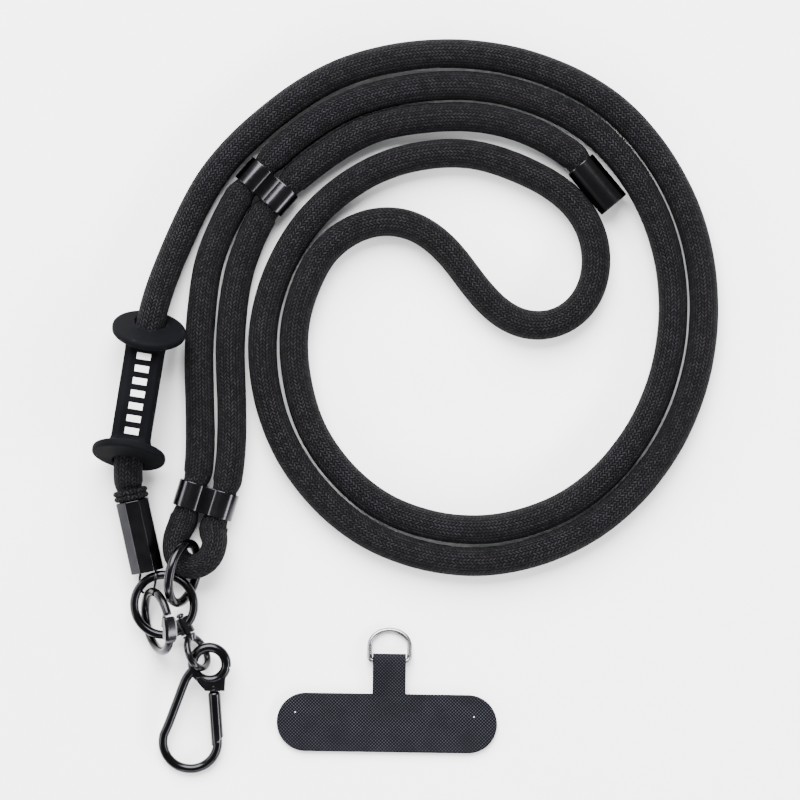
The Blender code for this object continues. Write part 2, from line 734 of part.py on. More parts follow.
def make_main_ring():
    """The main ring with the boss that holds the swivel's post."""
    slope_x, slope_y = MAIN_RING_SLOPE
    normal = Vector((-slope_x, -slope_y, 1)).normalized()
    long_way = normal.cross(Vector((0, 1, 0))).normalized() * -1
    other_way = normal.cross(long_way)
    centreline = (MAIN_RING_DIAMETER - MAIN_RING_WIRE) / 2
    bm = bmesh.new()
    points = ring_points(MAIN_RING_CENTRE, long_way, other_way, centreline)
    add_sweep(bm, points, [MAIN_RING_WIRE / 2] * len(points), closed=True)
    ring = mesh_object("main_ring", bm, BLACK_NICKEL)
    place = placed(SWIVEL_CENTRE, heading(SWIVEL_ANGLE))
    boss = bmesh.new()
    add_bar(boss, BOSS_OUTER, BOSS_DIAMETER / 2, place, 12, start=-BOSS_INNER)
    combine(ring, mesh_object("main_ring_boss", boss, hidden=True), "UNION")
    bore = bmesh.new()
    add_bar(bore, BORE_REACH, POST_DIAMETER / 2 + GAP, place, 12, start=-BORE_REACH)
    combine(ring, mesh_object("main_ring_bore", bore, hidden=True), "DIFFERENCE")


def make_link_ring():
    """The thicker ring that hangs in the cord's end loop and holds the main ring, standing steeply."""
    centreline = (LINK_RING_DIAMETER - LINK_RING_WIRE) / 2
    middle = LINK_RING_TOP.lerp(LINK_RING_BOTTOM, 0.5)
    long_way = (LINK_RING_BOTTOM - LINK_RING_TOP).normalized()
    left = Vector((0, 0, -1)).cross(long_way)
    rise = left * math.cos(LINK_RING_SLOPE) + Vector((0, 0, math.sin(LINK_RING_SLOPE)))
    middle.z = centreline * math.sin(LINK_RING_SLOPE) + LINK_RING_WIRE / 2
    points = ring_points(middle, long_way, rise, centreline)
    bm = bmesh.new()
    add_sweep(bm, points, [LINK_RING_WIRE / 2] * len(points), closed=True)
    mesh_object("link_ring", bm, BLACK_NICKEL)


def snap_directions():
    """Directions in the snap's plane: along its axis in plan, and up its slope toward its high side."""
    long_way = heading(SNAP_AXIS_ANGLE)
    right = heading(SNAP_AXIS_ANGLE + math.pi / 2)
    rise = right * math.cos(SNAP_SLOPE) + Vector((0, 0, math.sin(SNAP_SLOPE)))
    return long_way, rise


def snap_point(angle, radius):
    long_way, rise = snap_directions()
    return SNAP_CENTRE + radius * (math.cos(angle) * long_way + math.sin(angle) * rise)


def snap_tip_facing():
    """Direction square to the gate tip's path, so that its sloped end slides past the body's."""
    centreline = (SNAP_DIAMETER - SNAP_WIRE) / 2
    return (snap_point(SNAP_GATE_TO, centreline) - snap_point(SNAP_GATE_PIVOT, centreline)).normalized()


def make_snap():
    """The snap's body: most of a ring, with the square block that houses the gate's spring."""
    long_way, rise = snap_directions()
    centreline = (SNAP_DIAMETER - SNAP_WIRE) / 2
    start = SNAP_GATE_TO + SNAP_GATE_TIP_GAP
    points = ring_points(
        SNAP_CENTRE, long_way, rise, centreline, start, SNAP_BLOCK_TO + 2 * math.pi - math.radians(8), 30, False
    )
    bm = bmesh.new()
    add_sweep(bm, points, [SNAP_WIRE / 2] * len(points), first_facing=snap_tip_facing())
    body = mesh_object("snap_body", bm, BLACK_NICKEL)
    block = bmesh.new()
    add_arc_block(block, SNAP_BLOCK_FROM, SNAP_BLOCK_TO, SNAP_BLOCK_SIZE)
    combine(body, mesh_object("snap_block", block, hidden=True), "UNION")


def add_arc_block(bm, start, stop, size):
    """A block of rectangular section bent round the snap's circle."""
    long_way, rise = snap_directions()
    normal = long_way.cross(rise)
    centreline = (SNAP_DIAMETER - SNAP_WIRE) / 2
    wide, deep = size
    sections = []
    for k in range(5):
        angle = start + (stop - start) * k / 4
        sections.append([
            bm.verts.new(snap_point(angle, centreline + x) + y * normal)
            for x, y in ((-deep / 2, -wide / 2), (deep / 2, -wide / 2), (deep / 2, wide / 2), (-deep / 2, wide / 2))
        ])
    for one, two in zip(sections, sections[1:]):
        for k in range(4):
            n = (k + 1) % 4
            bm.faces.new((one[k], one[n], two[n], two[k]))
    bm.faces.new(sections[0])
    bm.faces.new(sections[-1])


def make_snap_gate():
    """The snap's gate arc with the curled lever inside it; it turns about the block's end."""
    long_way, rise = snap_directions()
    centreline = (SNAP_DIAMETER - SNAP_WIRE) / 2
    points = ring_points(SNAP_CENTRE, long_way, rise, centreline, SNAP_GATE_FROM, SNAP_GATE_TO, 9, False)
    bm = bmesh.new()
    add_sweep(bm, points, [SNAP_WIRE / 2] * len(points), last_facing=snap_tip_facing())
    gate = mesh_object("snap_gate", bm, BLACK_NICKEL)
    lever = bmesh.new()
    inward = centreline - SNAP_WIRE / 2
    curl = [
        snap_point(SNAP_GATE_FROM + math.radians(7), centreline),
        snap_point(SNAP_GATE_FROM + math.radians(5), inward - 0.0010),
        snap_point(SNAP_GATE_FROM - math.radians(4), inward - 0.0024),
        snap_point(SNAP_GATE_FROM - math.radians(20), inward - 0.0028),
        snap_point(SNAP_GATE_FROM - math.radians(34), inward - 0.0027),
    ]
    add_sweep(lever, curl, [SNAP_LEVER_WIRE / 2] * len(curl))
    combine(gate, mesh_object("snap_lever", lever, hidden=True), "UNION")


def swivel_frame():
    """Frame of the swivel: local X along its post, local Y across the eye."""
    axis = heading(SWIVEL_ANGLE)
    left = heading(SWIVEL_ANGLE - math.pi / 2)
    across = left * math.cos(EYE_TILT) + Vector((0, 0, math.sin(EYE_TILT)))
    return Matrix.Translation(SWIVEL_CENTRE) @ Matrix((axis, across, axis.cross(across))).transposed().to_4x4()


def make_swivel():
    """The swivel: a riveted post through the boss, its collar and its forged eye."""
    frame = swivel_frame()
    inner = -BOSS_INNER - GAP
    outer = BOSS_OUTER + GAP
    bm = bmesh.new()
    rivet = RIVET_DIAMETER / 2
    add_turned(
        bm,
        (
            (inner - RIVET_LENGTH, 0),
            (inner - RIVET_LENGTH, 0.6 * rivet),
            (inner - 0.5 * RIVET_LENGTH, rivet),
            (inner, rivet),
            (inner, POST_DIAMETER / 2),
            (outer, POST_DIAMETER / 2),
            (outer, EYE_COLLAR_DIAMETER / 2),
            (outer + EYE_COLLAR_LENGTH, 0.7 * EYE_COLLAR_DIAMETER / 2),
            (outer + EYE_COLLAR_LENGTH, 0),
        ),
        frame,
        12,
    )
    swivel = mesh_object("swivel", bm, BLACK_NICKEL)
    eye = bmesh.new()
    middle = EYE_START + EYE_LENGTH / 2
    points = [
        frame @ Vector((middle + EYE_LENGTH / 2 * math.cos(turn), EYE_WIDTH / 2 * math.sin(turn), 0))
        for turn in (2 * math.pi * k / 24 for k in range(24))
    ]
    add_sweep(eye, points, [EYE_WIRE / 2] * len(points), closed=True)
    combine(swivel, mesh_object("swivel_eye", eye, hidden=True), "UNION")


def carabiner_frame():
    """Matrix that takes the carabiner's flat plan to its place: tipped up about the low end of its bend."""
    low_end = Vector((0, CARABINER_BEND_CENTRE[1] - CARABINER_BEND_RADIUS, CARABINER_WIRE / 2))
    hinge = Matrix.Translation(low_end)
    return hinge @ Matrix.Rotation(CARABINER_TILT, 4, "X") @ hinge.inverted()


def flat_point(place):
    """A plan point on the middle plane of the carabiner before it is tipped."""
    return Vector((place[0], place[1], CARABINER_WIRE / 2))


def carabiner_place(place, along, up=Vector((0, 0, 1))):
    """Matrix at a plan point of the carabiner, with local X and Z along directions of its flat plan."""
    frame = carabiner_frame()
    return frame @ placed(flat_point(place), along, up)


def carabiner_path():
    """The wire's middle in plan, from the nose round the bend and up the long leg to the eye."""
    centre = flat_point(CARABINER_BEND_CENTRE)
    bend = [centre + CARABINER_BEND_RADIUS * heading(math.radians(angle)) for angle in range(0, -196, -15)]
    eye = flat_point(CARABINER_EYE_CENTRE)
    top = [eye + CARABINER_EYE_RADIUS * heading(math.radians(angle)) for angle in (195, 170)]
    return [flat_point(CARABINER_NOSE), *bend, *(flat_point(place) for place in CARABINER_LEG), *top]


def add_cut_side(bm, side):
    """The space to one side of the sloped joint between gate and nose, with half its gap: 1 is the gate's side."""
    low, high = sorted((-side * GAP / 2, side * 2 * GATE_DIAMETER))
    reach = 1.5 * GATE_DIAMETER
    add_prism(
        bm,
        ((-reach, low), (reach, low), (reach, high), (-reach, high)),
        -reach, reach, carabiner_place(GATE_CUT_MIDDLE, heading(GATE_CUT_ANGLE)),
    )


def make_carabiner_body():
    """The hook: bent wire with a closed eye, the slotted block that holds the gate's pin and a sloped nose."""
    frame = carabiner_frame()
    radius = CARABINER_WIRE / 2
    path = [frame @ point for point in carabiner_path()]
    bm = bmesh.new()
    add_sweep(bm, path, [radius] * len(path), 10)
    body = mesh_object("carabiner_body", bm, BLACK_NICKEL)
    eye_centre = flat_point(CARABINER_EYE_CENTRE)
    eye_points = [
        frame @ (eye_centre + CARABINER_EYE_RADIUS * heading(2 * math.pi * k / 24)) for k in range(24)
    ]
    eye = bmesh.new()
    add_sweep(eye, eye_points, [CARABINER_EYE_WIRE / 2] * len(eye_points), 10, closed=True)
    combine(body, mesh_object("carabiner_eye", eye, hidden=True), "UNION")
    half = HINGE_BLOCK_THICKNESS / 2
    block = bmesh.new()
    flat = frame @ Matrix.Translation(Vector((0, 0, CARABINER_WIRE / 2)))
    add_prism(block, HINGE_BLOCK, -half, half, flat)
    combine(body, mesh_object("carabiner_block", block, hidden=True), "UNION")
    left, right, top = HINGE_SLOT
    bottom = HINGE_BLOCK[0][1] - half
    half_slot = TONGUE_THICKNESS / 2 + GAP
    slot = bmesh.new()
    add_prism(slot, ((left, bottom), (right, bottom), (right, top), (left, top)), -half_slot, half_slot, flat)
    combine(body, mesh_object("carabiner_slot", slot, hidden=True), "DIFFERENCE")
    pin = bmesh.new()
    reach = half + GAP
    add_bar(pin, reach, GATE_PIN_DIAMETER / 2, pin_place(), 10, start=-reach)
    combine(body, mesh_object("carabiner_pin", pin, hidden=True), "UNION")
    nose = bmesh.new()
    add_cut_side(nose, 1)
    combine(body, mesh_object("carabiner_nose_cut", nose, hidden=True), "DIFFERENCE")
    slit = bmesh.new()
    across = heading(CARABINER_SLIT_ANGLE)
    spot = eye_centre + CARABINER_EYE_RADIUS * across
    half_slit = CARABINER_SLIT / 2
    add_prism(
        slit,
        ((-2 * radius, -half_slit), (2 * radius, -half_slit), (2 * radius, half_slit), (-2 * radius, half_slit)),
        -2 * radius, 2 * radius, carabiner_place(spot, across),
    )
    combine(body, mesh_object("carabiner_slit", slit, hidden=True), "DIFFERENCE")


def pin_place():
    """Matrix at the gate's pivot with local X along the pin."""
    return carabiner_place(CARABINER_PIVOT, Vector((0, 0, 1)), Vector((0, 1, 0)))


def make_carabiner_gate():
    """The gate: a round bar with a drilled tongue in the block and a sloped end against the nose."""
    pivot = flat_point(CARABINER_PIVOT)
    along = flat_point(GATE_AXIS_END) - pivot
    length = along.length + GATE_DIAMETER
    place = carabiner_place(CARABINER_PIVOT, along)
    radius = GATE_DIAMETER / 2
    start, full = GATE_SHOULDER
    bm = bmesh.new()
    add_turned(bm, ((start, 0), (start, 0.2 * radius), (full, radius), (length, radius), (length, 0)), place, 12)
    gate = mesh_object("carabiner_gate", bm, BLACK_NICKEL)
    tongue = bmesh.new()
    half = TONGUE_WIDTH / 2
    rounded = [
        (-half * math.sin(math.pi * k / 8), half * math.cos(math.pi * k / 8)) for k in range(9)
    ]
    add_prism(
        tongue, (*rounded, (2 * full, -half), (2 * full, half)), -TONGUE_THICKNESS / 2, TONGUE_THICKNESS / 2, place,
    )
    combine(gate, mesh_object("gate_tongue", tongue, hidden=True), "UNION")
    hole = bmesh.new()
    add_bar(hole, radius, GATE_PIN_DIAMETER / 2 + GAP / 2, pin_place(), 12, start=-radius)
    combine(gate, mesh_object("gate_pin_hole", hole, hidden=True), "DIFFERENCE")
    end = bmesh.new()
    add_cut_side(end, -1)
    combine(gate, mesh_object("gate_end_cut", end, hidden=True), "DIFFERENCE")


def tab_frame():
    return Matrix.Translation(TAB_CENTRE) @ Matrix.Rotation(TAB_ANGLE, 4, "Z")


def pill_outline(length, width):
    """Corners of a bar with full-round ends."""
    radius = width / 2
    half = length / 2 - radius
    return [
        (side * half + radius * math.sin(angle) * side, radius * math.cos(angle) * side)
        for side in (1, -1)
        for angle in (math.pi * k / TAB_ROUND_STEPS for k in range(TAB_ROUND_STEPS + 1))
    ]


def make_phone_tab():
    """The woven pill-shaped patch, its edges eased, with the neck folded round the D-ring's bar."""
    frame = tab_frame()
    bm = bmesh.new()
    layers = (
        (0.0, TAB_EDGE), (TAB_EDGE, 0.0), (TAB_THICKNESS - TAB_EDGE, 0.0), (TAB_THICKNESS, TAB_EDGE),
    )
    rings = [
        [bm.verts.new(frame @ Vector((x, y, height))) for x, y in pill_outline(TAB_LENGTH - 2 * ease, TAB_WIDTH - 2 * ease)]
        for height, ease in layers
    ]
    for one, two in zip(rings, rings[1:]):
        for k in range(len(one)):
            n = (k + 1) % len(one)
            bm.faces.new((one[k], one[n], two[n], two[k]))
    bm.faces.new(rings[0])
    bm.faces.new(rings[-1])
    tab = mesh_object("phone_tab", bm, WEAVE)
    neck = bmesh.new()
    add_neck(neck, frame)
    combine(tab, mesh_object("phone_tab_neck", neck, hidden=True), "UNION")


def add_neck(bm, frame):
    """The folded neck: one outline of cloth seen from the side, pulled across its width."""
    inner = D_RING_WIRE / 2 + GAP
    outer = inner + NECK_CLOTH
    bar = D_RING_BAR_FROM_TAB
    height = D_RING_BAR_HEIGHT
    steps = 10
    outside = [(NECK_START, 0.0001), (bar, 0.0001)]
    outside += [
        (bar + outer * math.sin(math.pi * k / steps), height - outer * math.cos(math.pi * k / steps))
        for k in range(1, steps + 1)
    ]
    outside += [(bar - 0.0040, height + outer - 0.0009), (NECK_START, TAB_THICKNESS)]
    inside = [(bar - 0.0032, height + inner - 0.0011), (bar, height + inner)]
    inside += [
        (bar + inner * math.sin(math.pi * k / steps), height + inner * math.cos(math.pi * k / steps))
        for k in range(1, steps)
    ]
    inside += [(bar, height - inner), (bar - 0.0032, height - inner)]
    half = NECK_WIDTH / 2
    body = outside
    left = [bm.verts.new(frame @ Vector((NECK_OFFSET - half, y, z))) for y, z in body]
    right = [bm.verts.new(frame @ Vector((NECK_OFFSET + half, y, z))) for y, z in body]
    hole_left = [bm.verts.new(frame @ Vector((NECK_OFFSET - half, y, z))) for y, z in inside]
    hole_right = [bm.verts.new(frame @ Vector((NECK_OFFSET + half, y, z))) for y, z in inside]
    for one, two in ((left, right), (hole_left, hole_right)):
        for k in range(len(one)):
            n = (k + 1) % len(one)
            bm.faces.new((one[k], one[n], two[n], two[k]))
    for rim, hole in ((left, hole_left), (right, hole_right)):
        edges = []
        for ring in (rim, hole):
            for k in range(len(ring)):
                n = (k + 1) % len(ring)
                edges.append(bm.edges.get((ring[k], ring[n])) or bm.edges.new((ring[k], ring[n])))
        bmesh.ops.triangle_fill(bm, use_beauty=True, use_dissolve=False, edges=edges)


def make_d_ring():
    """The D-ring: a straight bar in the fold and a round bow, tipped down until it meets the ground."""
    frame = tab_frame()
    radius = D_RING_WIRE / 2
    half = D_RING_WIDTH / 2 - radius
    bow = D_RING_REACH - D_RING_STRAIGHT
    drop = math.asin((D_RING_BAR_HEIGHT - radius - 0.00005) / D_RING_REACH)
    corner = 0.0011
    plan = [(half - corner, 0.0), (half - 0.3 * corner, 0.3 * corner), (half, corner)]
    plan += [
        (half * math.cos(angle), D_RING_STRAIGHT + bow * math.sin(angle))
        for angle in (math.pi * k / 12 for k in range(13))
    ]
    plan += [(-half, corner), (-half + 0.3 * corner, 0.3 * corner), (-half + corner, 0.0), (0.0, 0.0)]
    points = [
        frame @ Vector((
            NECK_OFFSET + x, D_RING_BAR_FROM_TAB + y * math.cos(drop), D_RING_BAR_HEIGHT - y * math.sin(drop),
        ))
        for x, y in plan
    ]
    bm = bmesh.new()
    add_sweep(bm, points, [radius] * len(points), closed=True)
    mesh_object("tab_d_ring", bm, BRIGHT_NICKEL)


def main():
    clear_scene()
    make_rope()
    make_end_folds()
    make_end_cap()
    make_cap_bail()
    make_tag()
    make_slider("upper_slider", UPPER_SLIDER_CENTRE, UPPER_SLIDER_ANGLE)
    make_slider("lower_slider", LOWER_SLIDER_CENTRE, LOWER_SLIDER_ANGLE)
    make_tail_cap()
    make_main_ring()
    make_link_ring()
    make_snap()
    make_snap_gate()
    make_swivel()
    make_carabiner_body()
    make_carabiner_gate()
    make_phone_tab()
    make_d_ring()
    centre_outline()


main()
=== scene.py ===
"""The looks of the phone crossbody strap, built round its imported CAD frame.

Metres, +Z up. The strap and its separate phone tab lie on the plane z = 0 and the camera looks straight down
on them. Places and sizes repeat part.py's, and SHIFT is the small step that centres the outline. Some shapes
differ from the solids on purpose: the free cord is smoothed, the sliders' valley is shallower, the snap's block
is rounder, its gate is trimmed with its lever further in, and the rubber strip flares into its discs."""

import logging
import math
from dataclasses import dataclass
from enum import Enum
from typing import Callable, Iterable, Optional, Sequence

import bmesh
import bpy
import numpy as np
from mathutils import Matrix, Vector


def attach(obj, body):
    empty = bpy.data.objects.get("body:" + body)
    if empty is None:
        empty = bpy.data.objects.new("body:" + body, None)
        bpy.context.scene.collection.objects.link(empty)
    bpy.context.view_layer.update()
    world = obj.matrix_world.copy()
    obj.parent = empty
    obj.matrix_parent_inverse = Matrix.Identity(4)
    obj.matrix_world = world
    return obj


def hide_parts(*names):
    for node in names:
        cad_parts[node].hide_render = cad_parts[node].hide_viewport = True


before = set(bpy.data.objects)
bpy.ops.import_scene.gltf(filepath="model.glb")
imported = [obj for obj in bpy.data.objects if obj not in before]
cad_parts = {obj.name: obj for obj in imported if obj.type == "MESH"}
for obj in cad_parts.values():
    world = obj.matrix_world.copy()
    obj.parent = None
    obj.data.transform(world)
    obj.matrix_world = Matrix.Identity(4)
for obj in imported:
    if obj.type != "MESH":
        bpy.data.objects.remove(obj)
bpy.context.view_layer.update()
LOG = logging.getLogger("strap")

SHIFT = Vector((-0.000176, 0.000171, 0.0))
UP = Vector((0.0, 0.0, 1.0))
GAP = 0.0003

# Cord
CORD_RADIUS = 0.0044
CORD_IN_BARREL = 0.0037
CORD_IN_LOOP = 0.0038
CORD_IN_END = 0.0039
CORD_TAPER = 0.0030
CORD_SIDES = 48
CORD_COLUMNS = 14
CORD_STEP = 0.0011
CORD_CALM_ROUNDS = 40
CORD_CALM_BAND = 0.03
BRAID_PITCH = 0.00112
LOOPS_CENTRE = Vector((0.0225, 0.0230, 0.0))
OUTER_TURN = (
    0.0923, 0.0877, 0.0822, 0.0778, 0.0713, 0.0668, 0.0659, 0.0677,
    0.0696, 0.0699, 0.0680, 0.0651, 0.0612, 0.0569, 0.0522, 0.0481,
)
INNER_TURN = (0.0558, 0.0587, 0.0606, 0.0600, 0.0584, 0.0566, 0.0575, 0.0620, 0.0685, 0.0728, 0.0779)
LAST_TURN = (0.0688, 0.0635)
S_BEND = (
    (0.0547, 0.0552), (0.0576, 0.0448), (0.0549, 0.0325), (0.0471, 0.0252), (0.0375, 0.0238),
    (0.0291, 0.0273), (0.0210, 0.0357), (0.0126, 0.0470), (0.0018, 0.0546), (-0.0105, 0.0552),
    (-0.0231, 0.0479), (-0.0295, 0.0369),
)
LEFT_LEG = ((-0.0585, 0.0445), (-0.0605, 0.0320), (-0.0617, 0.0170), (-0.0614, 0.0020), (-0.0612, -0.0130))
RIGHT_LEG = ((-0.0519, -0.0130), (-0.0518, 0.0020), (-0.0524, 0.0170), (-0.0512, 0.0320), (-0.0492, 0.0424))
TO_TAIL = ((0.0383, 0.0822),)
END_LOOP = (
    (-0.0687, -0.0404, 0.0059), (-0.0679, -0.0452, 0.0070), (-0.0636, -0.0478, 0.0084),
    (-0.0591, -0.0459, 0.0085), (-0.0569, -0.0412, 0.0071),
)

# Metal sliders and ends
BARREL_RISE = 0.8
BARREL_WAIST = 0.92
BARREL_RADIUS = 0.0047
BARREL_BORE = 0.0040
BARREL_SPACING = 0.0091
SLIDER_LENGTH = 0.0080
UPPER_SLIDER_CENTRE = Vector((-0.04125, 0.06565, BARREL_RADIUS))
UPPER_SLIDER_ANGLE = math.radians(-41.4)
LOWER_SLIDER_CENTRE = Vector((-0.05957, -0.02795, BARREL_RADIUS))
LOWER_SLIDER_ANGLE = math.radians(-17.2)
TAIL_RADIUS = 0.00485
TAIL_BORE = 0.0042
TAIL_LENGTH = 0.0158
TAIL_END_WALL = 0.0020
TAIL_MOUTH = Vector((0.0524, 0.0724, TAIL_RADIUS))
TAIL_ANGLE = math.radians(-50)
TAIL_DEPTH = 0.0100
END_CAP_FLATS = 0.0098
END_CAP_LENGTH = 0.0217
END_CAP_BORE = 0.0042
END_CAP_BORE_DEPTH = 0.0110
END_CAP_MOUTH = Vector((-0.08155, -0.0281, 0.0057))
END_CAP_ANGLE = math.radians(-77.7)
END_CAP_TIP = math.radians(2)
CORD_IN_END_CAP = 0.0060
FOLD_WIDTH = 0.0016
FOLD_COUNT = 2
FOLD_HEIGHT = 0.0006

# Rubber tag
TAG_LOWER_DISC = Vector((-0.0823, -0.01425, 0.0))
TAG_UPPER_DISC = Vector((-0.0763, 0.02265, 0.0))
TAG_CORD_HEIGHT = 0.0078
TAG_CORD_STRAIGHT = 0.0050
TAG_DISC_RADIUS = 0.0111
TAG_DISC_THICKNESS = 0.0025
TAG_LOWER_LEAN = math.radians(20)
TAG_UPPER_LEAN = math.radians(28)
TAG_BORE = 0.0047
TAG_STRIP_WIDTH = 0.0120
TAG_STRIP_TOP_WIDTH = 0.0084
TAG_STRIP_THICKNESS = 0.0026
TAG_STRIP_CROWN = 0.0006
TAG_FLARE_REACH = 0.0046
TAG_FLARE_SHARE = 0.55
TAG_FLARE_DROP = 0.0012
TAG_FLARE_RISE = 0.0040
TAG_VOXEL = 0.00032

# Chain of rings
MAIN_RING_DIAMETER = 0.0206
MAIN_RING_WIRE = 0.0026
MAIN_RING_CENTRE = Vector((-0.0720, -0.05925, 0.0063))
MAIN_RING_SLOPE = (0.10, 0.055)
LINK_RING_DIAMETER = 0.0208
LINK_RING_WIRE = 0.0028
LINK_RING_TOP = Vector((-0.06405, -0.04035, 0.0))
LINK_RING_BOTTOM = Vector((-0.0682, -0.0590, 0.0))
LINK_RING_SLOPE = math.radians(66)
BAIL_WIRE = 0.00075
BAIL_HALF_WIDTH = 0.0039
BAIL_TURN = math.radians(50)
BAIL_IN_CAP = 0.0020
BAIL_BEND = (
    (-0.0795, -0.0520, 0.0026), (-0.0793, -0.0538, 0.0028), (-0.0787, -0.0554, 0.0029),
    (-0.0777, -0.0562, 0.0030), (-0.0766, -0.0562, 0.0033), (-0.0757, -0.0556, 0.0042),
    (-0.0750, -0.0543, 0.0058), (-0.0746, -0.0528, 0.0076), (-0.0744, -0.0516, 0.0087),
    (-0.0743, -0.0503, 0.0090),
)

# Snap
SNAP_DIAMETER = 0.02054
SNAP_WIRE = 0.00254
SNAP_CENTRE = Vector((-0.0738, -0.06405, 0.00945))
SNAP_AXIS_ANGLE = math.radians(-79.5)
SNAP_SLOPE = math.radians(65)
SNAP_BLOCK = (48, 96)
SNAP_BLOCK_SIZE = (0.0038, 0.0034)
SNAP_GATE = (99, 158)
SNAP_GATE_PIVOT = 102
SNAP_TIP_GAP = 3.5
SNAP_GATE_TRIM = 2.5
SNAP_BLOCK_ROWS = (
    (0, 0.0006), (0.03, 0.0003), (0.1, 0.0001), (0.2, 0), (0.35, 0), (0.5, 0),
    (0.65, 0), (0.8, 0), (0.9, 0.0001), (0.97, 0.0003), (1, 0.0006),
)
SNAP_BLOCK_BEVEL = 0.0007
SNAP_LEVER_WIRE = 0.0011

# Swivel
SWIVEL_ANGLE = math.radians(-65)
SWIVEL_CENTRE = Vector((-0.0659, -0.0655, 0.0058))
BOSS_RADIUS = 0.0023
BOSS_HALF = 0.0026
POST_RADIUS = 0.00085
EYE_LENGTH = 0.0098
EYE_WIDTH = 0.0096
EYE_WIRE = 0.0021
EYE_START = 0.0039
EYE_TILT = math.radians(62)

# Carabiner
CARABINER_WIRE = 0.00276
CARABINER_TILT = math.radians(8)
CARABINER_BEND_CENTRE = (-0.0643, -0.10035)
CARABINER_BEND_RADIUS = 0.0082
CARABINER_LEG = ((-0.0709, -0.0952), (-0.0679, -0.0873), (-0.0654, -0.0810))
CARABINER_EYE_CENTRE = (-0.05845, -0.0766)
CARABINER_EYE_RADIUS = 0.0050
CARABINER_EYE_WIRE = 0.0030
CARABINER_SLIT = 0.0005
CARABINER_SLIT_ANGLE = math.radians(-11)
CARABINER_PIVOT = (-0.0572, -0.08365)
HINGE_BLOCK = (
    (-0.0539, -0.08465), (-0.0536, -0.0808), (-0.0552, -0.0806), (-0.0570, -0.0814), (-0.0595, -0.0813),
    (-0.0612, -0.0802), (-0.0625, -0.0805), (-0.0620, -0.0820), (-0.0610, -0.0832), (-0.0603, -0.0840),
    (-0.0597, -0.08465),
)
HINGE_THICKNESS = 0.0034
HINGE_SLOT = (-0.0593, -0.0556, -0.08215)
TONGUE = (0.0024, 0.0011)
GATE_RADIUS = 0.00185
GATE_AXIS_END = (-0.05615, -0.1006)
GATE_CUT_MIDDLE = (-0.0566, -0.1006)
GATE_CUT_ANGLE = math.radians(39.5)
PIN_RADIUS = 0.00055

# Phone tab
TAB_CENTRE = Vector((-0.00545, -0.0949, 0.0))
TAB_ANGLE = math.radians(-0.87)
TAB_LENGTH = 0.0661
TAB_WIDTH = 0.0175
TAB_THICKNESS = 0.0018
NECK_OFFSET = 0.0005
NECK_WIDTH = 0.0099
NECK_CLOTH = 0.0011
NECK_START = 0.0080
D_RING_WIRE = 0.00145
D_RING_WIDTH = 0.0134
D_RING_BAR = 0.01875
D_RING_REACH = 0.00923
D_RING_HEIGHT = NECK_CLOTH + GAP + D_RING_WIRE / 2
D_RING_STRAIGHT = 0.0046
PINHOLES = ((-0.0331, -0.09135, 0.0018), (0.0205, -0.09285, 0.0018))

Rgb = tuple[float, float, float]
Row = tuple[Vector, float]


class Body(Enum):
    """The frame's bodies that pieces ride on."""

    STRAP = "strap"
    SNAP_GATE = "snap_gate"
    HOOK = "hook"
    HOOK_GATE = "hook_gate"
    TAB_RING = "tab_ring"


